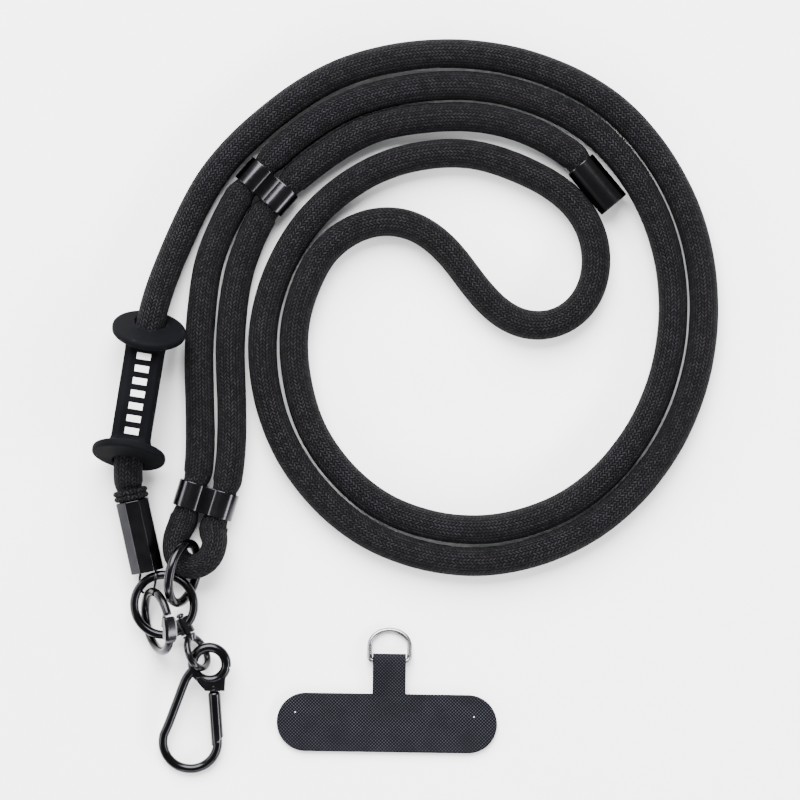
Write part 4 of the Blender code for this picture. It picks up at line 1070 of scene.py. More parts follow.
@dataclass
class Cord:
    """The braided cord and the braid bunched at its end cap."""

    sides: int = CORD_SIDES
    swell: float = 0.012

    def turn_rows(self, start: float, step: float, distances: Sequence[float]) -> list[Row]:
        """Args:
            start: first angle in degrees.
            step: angle between rows in degrees.
            distances: from the loops' centre.

        Returns:
            Rows of one turn.
        """
        height = Vector((0, 0, CORD_RADIUS))
        return [
            (LOOPS_CENTRE + distance * heading(math.radians(start + i * step)) + height, CORD_RADIUS)
            for i, distance in enumerate(distances)
        ]

    def flat_rows(self, places: Sequence[tuple[float, float]]) -> list[Row]:
        """Args:
            places: x, y points.

        Returns:
            Rows on the ground.
        """
        return [(Vector((x, y, CORD_RADIUS)), CORD_RADIUS) for x, y in places]

    def barrel_rows(self, centre: Vector, angle: float, side: int, travel: int) -> list[Row]:
        """Args:
            centre: the slider's middle.
            angle: its direction.
            side: which barrel.
            travel: 1 upward and -1 downward.

        Returns:
            Rows through the barrel.
        """
        middle = barrel_centre(centre, angle, side)
        along = travel * heading(angle + math.pi / 2)
        held = SLIDER_LENGTH / 2 + 2 * GAP
        free = held + CORD_TAPER
        lift = Vector((0, 0, CORD_RADIUS - middle.z))
        return [
            (middle - free * along + lift, CORD_RADIUS), (middle - held * along, CORD_IN_BARREL),
            (middle + held * along, CORD_IN_BARREL), (middle + free * along + lift, CORD_RADIUS),
        ]

    def first_rows(self) -> list[Row]:
        """Returns:
            Rows from inside the end cap, up through the tag and down to the ground.
        """
        into = end_cap_along()
        along = (TAG_UPPER_DISC - TAG_LOWER_DISC).normalized()
        raised = Vector((0, 0, TAG_CORD_HEIGHT))
        straight = TAG_CORD_STRAIGHT * along
        folds = GAP + FOLD_COUNT * FOLD_WIDTH
        return [
            (END_CAP_MOUTH + CORD_IN_END_CAP * into, CORD_IN_END),
            (END_CAP_MOUTH - (folds + GAP) * into, CORD_IN_END),
            (END_CAP_MOUTH - (folds + 0.8 * CORD_TAPER) * into, CORD_RADIUS),
            (TAG_LOWER_DISC - straight + raised, CORD_RADIUS),
            (TAG_LOWER_DISC + raised, CORD_RADIUS),
            (TAG_LOWER_DISC.lerp(TAG_UPPER_DISC, 0.5) + raised, CORD_RADIUS),
            (TAG_UPPER_DISC + raised, CORD_RADIUS),
            (TAG_UPPER_DISC + straight + raised, CORD_RADIUS),
            (Vector((-0.0733, 0.0352, 0.0060)), CORD_RADIUS),
            (Vector((-0.0685, 0.0475, CORD_RADIUS)), CORD_RADIUS),
        ]

    def rows(self) -> list[Row]:
        """Returns:
            The whole route.
        """
        upper = (UPPER_SLIDER_CENTRE, UPPER_SLIDER_ANGLE)
        lower = (LOWER_SLIDER_CENTRE, LOWER_SLIDER_ANGLE)
        tail = heading(TAIL_ANGLE)
        return [
            *self.first_rows(),
            *self.turn_rows(150, -30, OUTER_TURN),
            *self.flat_rows(S_BEND),
            *self.turn_rows(180, 30, INNER_TURN),
            *self.barrel_rows(*upper, -1, -1),
            *self.flat_rows(LEFT_LEG),
            *self.barrel_rows(*lower, -1, -1),
            *((Vector(place), CORD_IN_LOOP) for place in END_LOOP),
            *self.barrel_rows(*lower, 1, 1),
            *self.flat_rows(RIGHT_LEG),
            *self.barrel_rows(*upper, 1, 1),
            *self.turn_rows(120, -30, LAST_TURN),
            *self.flat_rows(TO_TAIL),
            (TAIL_MOUTH - 1.2 * CORD_TAPER * tail, CORD_RADIUS),
            (TAIL_MOUTH - 0.2 * CORD_TAPER * tail, CORD_IN_END),
            (TAIL_MOUTH + TAIL_DEPTH * tail, CORD_IN_END),
        ]

    def build(self) -> tuple[bpy.types.Object, list[Vector], float]:
        """Builds the tube.

        Returns:
            The cord, its middle line and its length.
        """
        fine = read_spline(read_spline(self.rows(), 3 * 2 * CORD_RADIUS), CORD_STEP)
        centres = np.array([point + SHIFT for point, _ in fine])
        radii = np.array([radius for _, radius in fine])
        calmed = (radii - (1 - CORD_CALM_BAND) * CORD_RADIUS) / (CORD_CALM_BAND * CORD_RADIUS)
        free = np.clip(calmed, 0.0, 1.0)[1:-1, None]
        for _ in range(CORD_CALM_ROUNDS):
            centres[1:-1] += 0.5 * free * ((centres[:-2] + centres[2:]) / 2 - centres[1:-1])
        tangents = np.gradient(centres, axis=0)
        tangents /= np.linalg.norm(tangents, axis=1)[:, None]
        lengths = np.concatenate([[0.0], np.cumsum(np.linalg.norm(np.diff(centres, axis=0), axis=1))])
        turns = 2 * math.pi * np.arange(self.sides) / self.sides
        lobes = 1.0 - 0.045 * (1.0 - np.abs(np.cos(turns * CORD_COLUMNS / 2)) ** 0.7)
        side = np.array([0.0, 0.0, 1.0])
        verts = np.empty((len(fine), self.sides, 3))
        for i, tangent in enumerate(tangents):
            side = side - tangent * side.dot(tangent)
            side /= np.linalg.norm(side)
            other = np.cross(tangent, side)
            swell = 1.0 - self.swell * (0.5 + 0.5 * math.sin(lengths[i] * 260.0) * math.sin(lengths[i] * 97.0))
            reach = radii[i] * swell * lobes
            verts[i] = centres[i] + reach[:, None] * (np.cos(turns)[:, None] * side + np.sin(turns)[:, None] * other)
        verts[:, :, 2] = np.maximum(verts[:, :, 2], 0.00005)
        faces, places = [], []
        for i in range(len(fine) - 1):
            low, high = lengths[i] / BRAID_PITCH, lengths[i + 1] / BRAID_PITCH
            for k in range(self.sides):
                n = (k + 1) % self.sides
                here, there = i * self.sides, (i + 1) * self.sides
                faces.append((here + k, here + n, there + n, there + k))
                u = CORD_COLUMNS * k / self.sides + 0.5
                w = CORD_COLUMNS * (k + 1) / self.sides + 0.5
                places += [(u, low), (w, low), (w, high), (u, high)]
        for start in (0, (len(fine) - 1) * self.sides):
            faces.append(tuple(range(start, start + self.sides)))
            places += [(0.0, 0.0)] * self.sides
        mesh = bpy.data.meshes.new("braided_cord")
        mesh.from_pydata(verts.reshape(-1, 3).tolist(), [], faces)
        braid_uv(mesh, places)
        mesh.shade_smooth()
        mesh.validate()
        obj = bpy.data.objects.new("braided_cord", mesh)
        bpy.context.scene.collection.objects.link(obj)
        dress(obj, BRAID, Body.STRAP, "rope")
        return obj, [Vector(centre) for centre in centres], float(lengths[-1])

    def build_folds(self) -> bpy.types.Object:
        """Builds the bunched braid at the end cap's mouth.

        Returns:
            The piece.
        """
        bore = CORD_IN_END + GAP
        base = bore + 0.0004
        rows = [(GAP, bore), (GAP, base)]
        for fold in range(FOLD_COUNT):
            for step in range(1, 9):
                share = step / 8
                swell = 1.05 * FOLD_HEIGHT * math.sin(math.pi * share) ** 0.6
                rows.append((GAP + (fold + share) * FOLD_WIDTH, base + swell))
        rows.append((GAP + FOLD_COUNT * FOLD_WIDTH, bore))

        def wrinkle(turn: float, radius: float) -> float:
            """The folds' radius at a turn, with twelve shallow dents round each fold."""
            return radius - (0.22 * FOLD_HEIGHT * (1 - abs(math.cos(6 * turn))) if radius > base else 0.0)

        shape = Shape()
        shape.turned(rows, placed(END_CAP_MOUTH, -end_cap_along()), 96, wrinkle)
        obj = shape.mesh("bunched_braid")
        inverse = placed(END_CAP_MOUTH + SHIFT, -end_cap_along()).inverted()
        places = []
        for polygon in obj.data.polygons:
            spot = inverse @ polygon.center
            middle = math.atan2(spot.z, spot.y)
            for index in polygon.vertices:
                local = inverse @ obj.data.vertices[index].co
                turn = middle + (math.atan2(local.z, local.y) - middle + math.pi) % (2 * math.pi) - math.pi
                places.append((CORD_COLUMNS * turn / (2 * math.pi) + 0.5, local.x / BRAID_PITCH))
        braid_uv(obj.data, places)
        return dress(obj, BRAID, Body.STRAP, "rope_end_folds")


@dataclass
class Slider:
    """Two short barrels side by side, made as one, open at both ends."""

    name: str
    node: str
    centre: Vector
    angle: float

    def outline(self, inset: float) -> list[tuple[float, float]]:
        """Args:
            inset: how far it is moved inward.

        Returns:
            The outline of both barrels with the valley between them.
        """
        radius = BARREL_RADIUS - inset
        rise = BARREL_RISE * BARREL_RADIUS - inset
        foot = math.degrees(math.asin(rise / radius))
        half = BARREL_SPACING / 2
        right = arc(Vector((half, 0, 0)), Vector((1, 0, 0)), Vector((0, 1, 0)), radius, foot - 180, 180 - foot, 56)
        left = arc(Vector((-half, 0, 0)), Vector((1, 0, 0)), Vector((0, 1, 0)), radius, foot, 360 - foot, 56)
        low = BARREL_WAIST * rise
        return [(p.x, p.y) for p in right] + [(0.0, low)] + [(p.x, p.y) for p in left] + [(0.0, -low)]

    def build(self) -> bpy.types.Object:
        """Returns:
            The slider.
        """
        half = SLIDER_LENGTH / 2
        edge = 0.00025
        steps = ((1.0, 0.0), (0.3, 0.3), (0.0, 1.0))
        ends = [(half - step * edge, self.outline(inset * edge)) for step, inset in steps]
        rows = [(-x, outline) for x, outline in reversed(ends)] + ends
        holes = []
        for side in (-1, 1):
            middle = Vector((side * BARREL_SPACING / 2, 0, 0))
            holes.append([
                (x, [(p.x, p.y) for p in arc(middle, Vector((1, 0, 0)), Vector((0, 1, 0)), radius, 0, 354, 59)])
                for x, radius in (
                    (-half, BARREL_BORE + 0.00018), (-half + 0.00018, BARREL_BORE),
                    (half - 0.00018, BARREL_BORE), (half, BARREL_BORE + 0.00018),
                )
            ])
        shape = Shape()
        shape.through(rows, holes, placed(self.centre, heading(self.angle + math.pi / 2)), False)
        return shape.piece(self.name, BLACK_NICKEL, Body.STRAP, self.node)


@dataclass
class CordEnds:
    """The plain tail cap, and the eight-sided end cap with its wire bail."""

    edge: float = 0.00035

    def build_tail_cap(self) -> bpy.types.Object:
        """Returns:
            The tail cap.
        """
        edge = self.edge
        shape = Shape()
        shape.turned(
            (
                (TAIL_LENGTH - TAIL_END_WALL, 0), (TAIL_LENGTH - TAIL_END_WALL, TAIL_BORE), (0.0002, TAIL_BORE),
                (0, TAIL_BORE + 0.0002), (0, TAIL_RADIUS - 0.0002), (0.0001, TAIL_RADIUS - 0.00006),
                (0.0003, TAIL_RADIUS), (TAIL_LENGTH - edge, TAIL_RADIUS),
                (TAIL_LENGTH - 0.5 * edge, TAIL_RADIUS - 0.13 * edge),
                (TAIL_LENGTH - 0.13 * edge, TAIL_RADIUS - 0.5 * edge), (TAIL_LENGTH, TAIL_RADIUS - edge),
                (TAIL_LENGTH, 0),
            ),
            placed(TAIL_MOUTH, heading(TAIL_ANGLE)), 72,
        )
        return shape.piece("tail_end", BLACK_NICKEL, Body.STRAP, "tail_cap")

    def octagon(self, inset: float) -> list[tuple[float, float]]:
        """Args:
            inset: how far it is moved inward.

        Returns:
            The end cap's section with narrow rounded corners.
        """
        corner = (END_CAP_FLATS / 2 - inset) / math.cos(math.pi / 8)
        points = []
        for k in range(8):
            for nudge, pull in ((-3.4, 0.9905), (-1.2, 0.9862), (1.2, 0.9862), (3.4, 0.9905)):
                turn = math.radians(22.5 + 45 * k + nudge)
                flat = END_CAP_FLATS / 2 - inset
                limit = flat / math.cos(math.radians(22.5 - abs(nudge)))
                points.append((min(limit, corner * pull) * math.cos(turn), min(limit, corner * pull) * math.sin(turn)))
        return points

    def build_end_cap(self) -> bpy.types.Object:
        """Returns:
            The end cap.
        """
        edge = 0.0003
        length = END_CAP_LENGTH
        rows = [
            (0.0, self.octagon(edge)), (0.3 * edge, self.octagon(0.3 * edge)), (edge, self.octagon(0.0)),
            (length - edge, self.octagon(0.0)), (length - 0.3 * edge, self.octagon(0.3 * edge)),
            (length, self.octagon(edge)),
        ]
        bore = [
            (x, [(radius * math.cos(t), radius * math.sin(t)) for t in (2 * math.pi * k / 56 for k in range(56))])
            for x, radius in ((0.0, END_CAP_BORE + 0.0001), (0.0001, END_CAP_BORE), (END_CAP_BORE_DEPTH, END_CAP_BORE))
        ]
        shape = Shape()
        shape.through(rows, [bore], placed(END_CAP_MOUTH, end_cap_along()), True)
        return shape.piece("faceted_end", BLACK_NICKEL, Body.STRAP, "end_cap")

    def bail_root(self, side: int, depth: float) -> Vector:
        """Args:
            side: -1 for the low left leg and 1 for the other.
            depth: how far inside the cap's closed end.

        Returns:
            The leg's place.
        """
        along = end_cap_along()
        across = heading(END_CAP_ANGLE + math.pi / 2)
        out = math.cos(BAIL_TURN) * across + math.sin(BAIL_TURN) * across.cross(along) * -1
        return END_CAP_MOUTH + (END_CAP_LENGTH - depth) * along + side * BAIL_HALF_WIDTH * out

    def build_bail(self) -> bpy.types.Object:
        """Returns:
            The wire bail.
        """
        rows = [
            (point, BAIL_WIRE / 2) for point in (
                self.bail_root(-1, BAIL_IN_CAP), self.bail_root(-1, -GAP),
                *(Vector(place) for place in BAIL_BEND),
                self.bail_root(1, -GAP), self.bail_root(1, BAIL_IN_CAP),
            )
        ]
        fine = read_spline(rows, 0.0004, False)
        shape = Shape()
        shape.sweep([point for point, _ in fine], [radius for _, radius in fine], 16)
        return shape.piece("wire_bail", BLACK_NICKEL, Body.STRAP, "cap_bail")


@dataclass
class Tag:
    """The silicone tag: a strip over the cord between two pierced discs, with plain bars for its print."""

    bars: int = 7
    bar_area: tuple[float, float] = (0.0042, 0.0262)

    def disc_frame(self, centre: Vector, lean: float, inward: Vector) -> Matrix:
        """Args:
            centre: the disc's place on the ground.
            lean: how far its top leans inward.
            inward: direction to the other disc.

        Returns:
            Its frame, local X along its axis.
        """
        reach = TAG_DISC_RADIUS * math.cos(lean) + TAG_DISC_THICKNESS / 2 * math.sin(lean)
        return placed(centre + Vector((0, 0, reach)), inward * math.cos(lean) - Vector((0, 0, math.sin(lean))))

    def disc(self, frame: Matrix) -> bpy.types.Object:
        """Args:
            frame: the disc's frame.

        Returns:
            A round-edged disc.
        """
        half = TAG_DISC_THICKNESS / 2
        edge = 0.0008
        rows = [(-half, 0)]
        rows += [
            (-half + edge - edge * math.cos(a), TAG_DISC_RADIUS - edge + edge * math.sin(a))
            for a in (math.pi / 2 * k / 4 for k in range(5))
        ]
        rows += [
            (half - edge + edge * math.sin(a), TAG_DISC_RADIUS - edge + edge * math.cos(a))
            for a in (math.pi / 2 * k / 4 for k in range(5))
        ]
        shape = Shape()
        shape.turned([*rows, (half, 0)], frame, 96)
        return shape.mesh("disc")

    def strip(self, along: Vector, starts: float, stops: float, bottom: float) -> bpy.types.Object:
        """Args:
            along: direction from the lower disc to the upper one.
            starts: where it starts from the lower disc.
            stops: where it stops.
            bottom: height of its underside at its ends.

        Returns:
            The bowed strip, flared where it meets the discs.
        """
        across = UP.cross(along)
        shape = Shape()
        sections = []
        steps = 28
        for i in range(steps + 1):
            share = i / steps
            middle = TAG_LOWER_DISC + (starts + share * (stops - starts)) * along
            low = bottom + TAG_STRIP_CROWN * math.sin(math.pi * share)
            high = low + TAG_STRIP_THICKNESS
            near = max(0.0, 1 - min(share, 1 - share) * (stops - starts) / TAG_FLARE_REACH)
            flare = 1 + TAG_FLARE_SHARE * near ** 2.6
            drop = TAG_FLARE_DROP * near ** 2
            high += TAG_FLARE_RISE * near ** 2.2
            outline = (
                (-TAG_STRIP_WIDTH / 2 * flare, low - drop), (TAG_STRIP_WIDTH / 2 * flare, low - drop),
                (TAG_STRIP_WIDTH / 2 * flare, low + 0.45 * TAG_STRIP_THICKNESS - drop),
                (TAG_STRIP_TOP_WIDTH / 2 * flare, high), (-TAG_STRIP_TOP_WIDTH / 2 * flare, high),
                (-TAG_STRIP_WIDTH / 2 * flare, low + 0.45 * TAG_STRIP_THICKNESS - drop),
            )
            lean = math.tan(TAG_LOWER_LEAN) if share < 0.5 else -math.tan(TAG_UPPER_LEAN)
            level = bottom + TAG_STRIP_THICKNESS / 2
            sections.append(shape.loop(
                middle + x * across + Vector((0, 0, z)) + lean * near ** 0.5 * (z - level) * along for x, z in outline
            ))
        for one, two in zip(sections, sections[1:]):
            shape.skin(one, two)
        shape.fill(sections[0])
        shape.fill(sections[-1])
        return shape.mesh("strip")

    def build(self) -> list[bpy.types.Object]:
        """Returns:
            The tag and its bars.
        """
        along = (TAG_UPPER_DISC - TAG_LOWER_DISC).normalized()
        span = (TAG_UPPER_DISC - TAG_LOWER_DISC).length
        lower = self.disc_frame(TAG_LOWER_DISC, TAG_LOWER_LEAN, along)
        upper = self.disc_frame(TAG_UPPER_DISC, TAG_UPPER_LEAN, -along)
        bottom = TAG_CORD_HEIGHT + TAG_BORE + GAP
        level = bottom + TAG_STRIP_THICKNESS / 2
        starts = (level - lower.translation.z) * math.tan(TAG_LOWER_LEAN)
        stops = span - (level - upper.translation.z) * math.tan(TAG_UPPER_LEAN)
        tag = self.disc(lower)
        combine(tag, "UNION", self.disc(upper), self.strip(along, starts, stops, bottom))
        hole = Shape()
        start = TAG_LOWER_DISC + Vector((0, 0, TAG_CORD_HEIGHT)) - 0.02 * along
        hole.sweep([start, start + (span + 0.04) * along], [TAG_BORE, TAG_BORE], 64)
        combine(tag, "DIFFERENCE", hole.mesh("hole"))
        melt = tag.modifiers.new("melt", "REMESH")
        melt.mode = "VOXEL"
        melt.voxel_size = TAG_VOXEL
        calm = tag.modifiers.new("calm", "SMOOTH")
        calm.factor = 0.6
        calm.iterations = 7
        bake(tag)
        tag.name = "silicone_tag"
        tag.data.shade_smooth()
        dress(tag, SILICONE, Body.STRAP, "rubber_tag")
        return [tag, self.build_bars(along, starts, stops, bottom)]

    def build_bars(self, along: Vector, starts: float, stops: float, bottom: float) -> bpy.types.Object:
        """Builds plain raised bars where the real tag has its print.

        Args:
            along: direction from the lower disc to the upper one.
            starts: where the strip starts from the lower disc.
            stops: where it stops.
            bottom: height of its underside at its ends.

        Returns:
            The bars.
        """
        wide, long = self.bar_area
        pitch = long / self.bars
        middle = (starts + stops) / 2
        shape = Shape()
        for i in range(self.bars):
            spot = middle + (i - (self.bars - 1) / 2) * pitch
            share = (spot - starts) / (stops - starts)
            top = bottom + TAG_STRIP_CROWN * math.sin(math.pi * share) + TAG_STRIP_THICKNESS
            rise = TAG_STRIP_CROWN * math.pi * math.cos(math.pi * share) / (stops - starts)
            place = TAG_LOWER_DISC + spot * along + Vector((0, 0, top))
            half = 0.26 * pitch
            corners = [(-half, -wide / 2), (half, -wide / 2), (half, wide / 2), (-half, wide / 2)]
            frame = placed(place, along + rise * UP, UP)
            shape.prism(corners, -0.0003, 0.00006, frame, 0.00004)
        return shape.piece("tag_bars", PRINT, Body.STRAP)


@dataclass
class Rings:
    """The main ring with its boss, and the link ring in the cord's end loop."""

    stations: int = 120

    def build_main_ring(self) -> bpy.types.Object:
        """Returns:
            The main ring.
        """
        slope_x, slope_y = MAIN_RING_SLOPE
        normal = Vector((-slope_x, -slope_y, 1)).normalized()
        one = -normal.cross(Vector((0, 1, 0))).normalized()
        points = arc(
            MAIN_RING_CENTRE, one, normal.cross(one), (MAIN_RING_DIAMETER - MAIN_RING_WIRE) / 2,
            0, 360 - 360 / self.stations, self.stations - 1,
        )
        shape = Shape()
        shape.sweep(points, [MAIN_RING_WIRE / 2] * len(points), 28, True, square=normal)
        r, h = BOSS_RADIUS, BOSS_HALF
        shape.turned(
            (
                (-h, 0), (-h, r - 0.0003), (-h + 0.0001, r - 0.0001), (-h + 0.0003, r), (h - 0.0003, r),
                (h - 0.0001, r - 0.0001), (h, r - 0.0003), (h, 0),
            ),
            placed(SWIVEL_CENTRE, heading(SWIVEL_ANGLE)), 40,
        )
        return shape.piece("large_ring", BLACK_NICKEL, Body.STRAP, "main_ring")

    def build_link_ring(self) -> bpy.types.Object:
        """Returns:
            The link ring.
        """
        radius = (LINK_RING_DIAMETER - LINK_RING_WIRE) / 2
        middle = LINK_RING_TOP.lerp(LINK_RING_BOTTOM, 0.5)
        one = (LINK_RING_BOTTOM - LINK_RING_TOP).normalized()
        left = Vector((0, 0, -1)).cross(one)
        other = left * math.cos(LINK_RING_SLOPE) + Vector((0, 0, math.sin(LINK_RING_SLOPE)))
        middle.z = radius * math.sin(LINK_RING_SLOPE) + LINK_RING_WIRE / 2
        points = arc(middle, one, other, radius, 0, 360 - 360 / self.stations, self.stations - 1)
        shape = Shape()
        shape.sweep(points, [LINK_RING_WIRE / 2] * len(points), 28, True, square=one.cross(other))
        return shape.piece("thick_ring", BLACK_NICKEL, Body.STRAP, "link_ring")


@dataclass
class Snap:
    """The round snap: its bent wire and block, and the sprung gate with its curled lever."""

    radius: float = (SNAP_DIAMETER - SNAP_WIRE) / 2

    def directions(self) -> tuple[Vector, Vector]:
        """Returns:
            Directions at 0 and 90 degrees in the snap's plane.
        """
        right = heading(SNAP_AXIS_ANGLE + math.pi / 2)
        rise = right * math.cos(SNAP_SLOPE) + Vector((0, 0, math.sin(SNAP_SLOPE)))
        return heading(SNAP_AXIS_ANGLE), rise

    def point(self, degrees: float, radius: float) -> Vector:
        """Args:
            degrees: angle round the snap.
            radius: distance from its centre.

        Returns:
            The point.
        """
        one, other = self.directions()
        turn = math.radians(degrees)
        return SNAP_CENTRE + radius * (math.cos(turn) * one + math.sin(turn) * other)

    def build(self) -> bpy.types.Object:
        """Returns:
            The snap's body.
        """
        one, other = self.directions()
        normal = one.cross(other)
        facing = (self.point(SNAP_GATE[1], self.radius) - self.point(SNAP_GATE_PIVOT, self.radius)).normalized()
        start = SNAP_GATE[1] + SNAP_TIP_GAP
        points = arc(SNAP_CENTRE, one, other, self.radius, start, SNAP_BLOCK[1] + 352, 96)
        shape = Shape()
        shape.sweep(points, [SNAP_WIRE / 2] * len(points), 28, cuts=((points[0], facing), None), square=normal)
        wide, deep = SNAP_BLOCK_SIZE
        rings = []
        for step, inset in SNAP_BLOCK_ROWS:
            angle = SNAP_BLOCK[0] + (SNAP_BLOCK[1] - SNAP_BLOCK[0]) * step
            x, y, bevel = deep / 2 - inset, wide / 2 - inset, SNAP_BLOCK_BEVEL
            corners = (
                (-x + bevel, -y), (x - bevel, -y), (x, -y + bevel), (x, y - bevel),
                (x - bevel, y), (-x + bevel, y), (-x, y - bevel), (-x, -y + bevel),
            )
            rings.append(shape.loop(self.point(angle, self.radius + a) + b * normal for a, b in corners))
        for one_ring, two_ring in zip(rings, rings[1:]):
            shape.skin(one_ring, two_ring)
        shape.fill(rings[0])
        shape.fill(rings[-1])
        return shape.piece("snap_frame", BLACK_NICKEL, Body.STRAP, "snap_body")

    def build_gate(self) -> bpy.types.Object:
        """Returns:
            The gate with its lever.
        """
        one, other = self.directions()
        facing = (self.point(SNAP_GATE[1], self.radius) - self.point(SNAP_GATE_PIVOT, self.radius)).normalized()
        points = arc(SNAP_CENTRE, one, other, self.radius, SNAP_GATE[0], SNAP_GATE[1] - SNAP_GATE_TRIM, 40)
        shape = Shape()
        shares = [0.39, 0.46, *[0.5] * (len(points) - 4), 0.46, 0.37]
        shape.sweep(
            points, [share * SNAP_WIRE for share in shares], 28,
            cuts=(None, (points[-1], facing)), square=one.cross(other),
        )
        inward = self.radius - SNAP_WIRE / 2
        rows = [
            (self.point(SNAP_GATE[0] + turn, distance), SNAP_LEVER_WIRE / 2) for turn, distance in (
                (7, self.radius), (5, inward - 0.0010), (-4, inward - 0.0025), (-20, inward - 0.0034),
                (-34, inward - 0.0037),
            )
        ]
        fine = read_spline(rows, 0.0003, False)
        shape.sweep([point for point, _ in fine], [radius for _, radius in fine], 16)
        return shape.piece("snap_bar", BLACK_NICKEL, Body.SNAP_GATE, "snap_gate")


@dataclass
class Hook:
    """The swivel's post and eye, and the carabiner with its gate."""

    half: float = HINGE_THICKNESS / 2

    def build_swivel(self) -> bpy.types.Object:
        """Returns:
            The swivel.
        """
        axis = heading(SWIVEL_ANGLE)
        left = heading(SWIVEL_ANGLE - math.pi / 2)
        across = left * math.cos(EYE_TILT) + Vector((0, 0, math.sin(EYE_TILT)))
        frame = Matrix.Translation(SWIVEL_CENTRE) @ Matrix((axis, across, axis.cross(across))).transposed().to_4x4()
        inner, outer = -BOSS_HALF - GAP, BOSS_HALF + GAP
        shape = Shape()
        shape.turned(
            (
                (inner - 0.0010, 0), (inner - 0.0010, 0.0006), (inner - 0.0008, 0.00100), (inner - 0.0004, 0.00122),
                (inner, 0.00125), (inner, POST_RADIUS), (outer, POST_RADIUS), (outer, 0.0018),
                (outer + 0.0002, 0.0020), (outer + 0.0009, 0.0019), (outer + 0.0020, 0.0014), (outer + 0.0020, 0),
            ),
            frame, 36,
        )
        middle = EYE_START + EYE_LENGTH / 2
        points = [
            frame @ Vector((
                middle + EYE_LENGTH / 2 * math.cos(t), EYE_WIDTH / 2 * math.sin(t) * (1 + 0.10 * math.cos(t)), 0,
            )) for t in (2 * math.pi * k / 72 for k in range(72))
        ]
        shape.sweep(points, [EYE_WIRE / 2] * len(points), 24, True, square=axis.cross(across))
        return shape.piece("swivel_eye", BLACK_NICKEL, Body.HOOK, "swivel")

    def frame(self) -> Matrix:
        """Returns:
            What takes the carabiner's flat plan to its place.
        """
        low_end = Vector((0, CARABINER_BEND_CENTRE[1] - CARABINER_BEND_RADIUS, CARABINER_WIRE / 2))
        hinge = Matrix.Translation(low_end)
        return hinge @ Matrix.Rotation(CARABINER_TILT, 4, "X") @ hinge.inverted()

    def flat(self, place: tuple[float, float]) -> Vector:
        """Args:
            place: a plan point.

        Returns:
            It on the middle plane, before it is tipped.
        """
        return Vector((place[0], place[1], CARABINER_WIRE / 2))

    def at(self, place: tuple[float, float], along: Vector, up: Vector = UP) -> Matrix:
        """Args:
            place: a plan point.
            along: local X in the flat plan.
            up: local Z in the flat plan.

        Returns:
            The frame there.
        """
        return self.frame() @ placed(self.flat(place), along, up)

    def cut(self, side: int) -> tuple[Vector, Vector]:
        """Args:
            side: 1 for the gate's end and -1 for the nose.

        Returns:
            Point and normal of that face of the sloped joint.
        """
        place = self.at(GATE_CUT_MIDDLE, heading(GATE_CUT_ANGLE))
        normal = place.to_3x3() @ Vector((0, 1, 0))
        return place.translation + side * GAP / 2 * normal, normal

    def build_carabiner(self) -> bpy.types.Object:
        """Returns:
            The carabiner's body.
        """
        frame = self.frame()
        radius = CARABINER_WIRE / 2
        up = (frame.to_3x3() @ UP).normalized()
        centre = self.flat(CARABINER_BEND_CENTRE)
        eye = self.flat(CARABINER_EYE_CENTRE)
        rows = [centre + CARABINER_BEND_RADIUS * heading(0) + Vector((0, 0.0004, 0))]
        rows += [centre + CARABINER_BEND_RADIUS * heading(math.radians(a)) for a in range(-5, -196, -5)]
        rows += [self.flat(place) for place in CARABINER_LEG]
        rows += [eye + CARABINER_EYE_RADIUS * heading(math.radians(a)) for a in (195, 180, 165)]
        fine = read_spline([(point, radius) for point in rows], 0.0006, False)
        shape = Shape()
        shape.sweep(
            [frame @ point for point, _ in fine], [r for _, r in fine], 28, cuts=(self.cut(-1), None), square=up
        )
        slit = math.degrees(CARABINER_SLIT / 2 / CARABINER_EYE_RADIUS)
        turn = math.degrees(CARABINER_SLIT_ANGLE)
        loop = arc(eye, Vector((1, 0, 0)), Vector((0, 1, 0)), CARABINER_EYE_RADIUS, turn + slit, turn + 360 - slit, 84)
        shape.sweep([frame @ point for point in loop], [CARABINER_EYE_WIRE / 2] * len(loop), 28, square=up)
        # A thinner bar bridges the eye's slit so that it shows dark: metal put where the real eye has only a shaded
        # gap, standing in for its shade.
        ends = [eye + CARABINER_EYE_RADIUS * heading(math.radians(turn + a)) for a in (-3 * slit, 3 * slit)]
        shade_fill_radius = 0.86 * CARABINER_EYE_WIRE / 2
        shape.sweep([frame @ point for point in ends], [shade_fill_radius, shade_fill_radius], 28, square=up)
        body = shape.mesh("carabiner")
        flat = frame @ Matrix.Translation(Vector((0, 0, radius)))
        block = Shape()
        block.prism(HINGE_BLOCK, -self.half, self.half, flat, 0.00045)
        left, right, top = HINGE_SLOT
        low = HINGE_BLOCK[0][1] - self.half
        room = TONGUE[1] / 2 + GAP
        slot = Shape()
        slot.prism(((left, low), (right, low), (right, top), (left, top)), -room, room, flat)
        head = block.mesh("head")
        combine(head, "DIFFERENCE", slot.mesh("slot"))
        pin = Shape()
        reach = self.half + GAP
        pin.turned(
            (
                (-reach, 0), (-reach, 0.6 * PIN_RADIUS), (-reach + 0.0001, PIN_RADIUS), (reach - 0.0001, PIN_RADIUS),
                (reach, 0.6 * PIN_RADIUS), (reach, 0),
            ),
            self.at(CARABINER_PIVOT, UP, Vector((0, 1, 0))), 24,
        )
        rivet = pin.mesh("rivet")
        join(body, head, rivet)
        body.name = "carabiner"
        even_shading(body)
        return dress(body, BLACK_NICKEL, Body.HOOK, "carabiner_body")

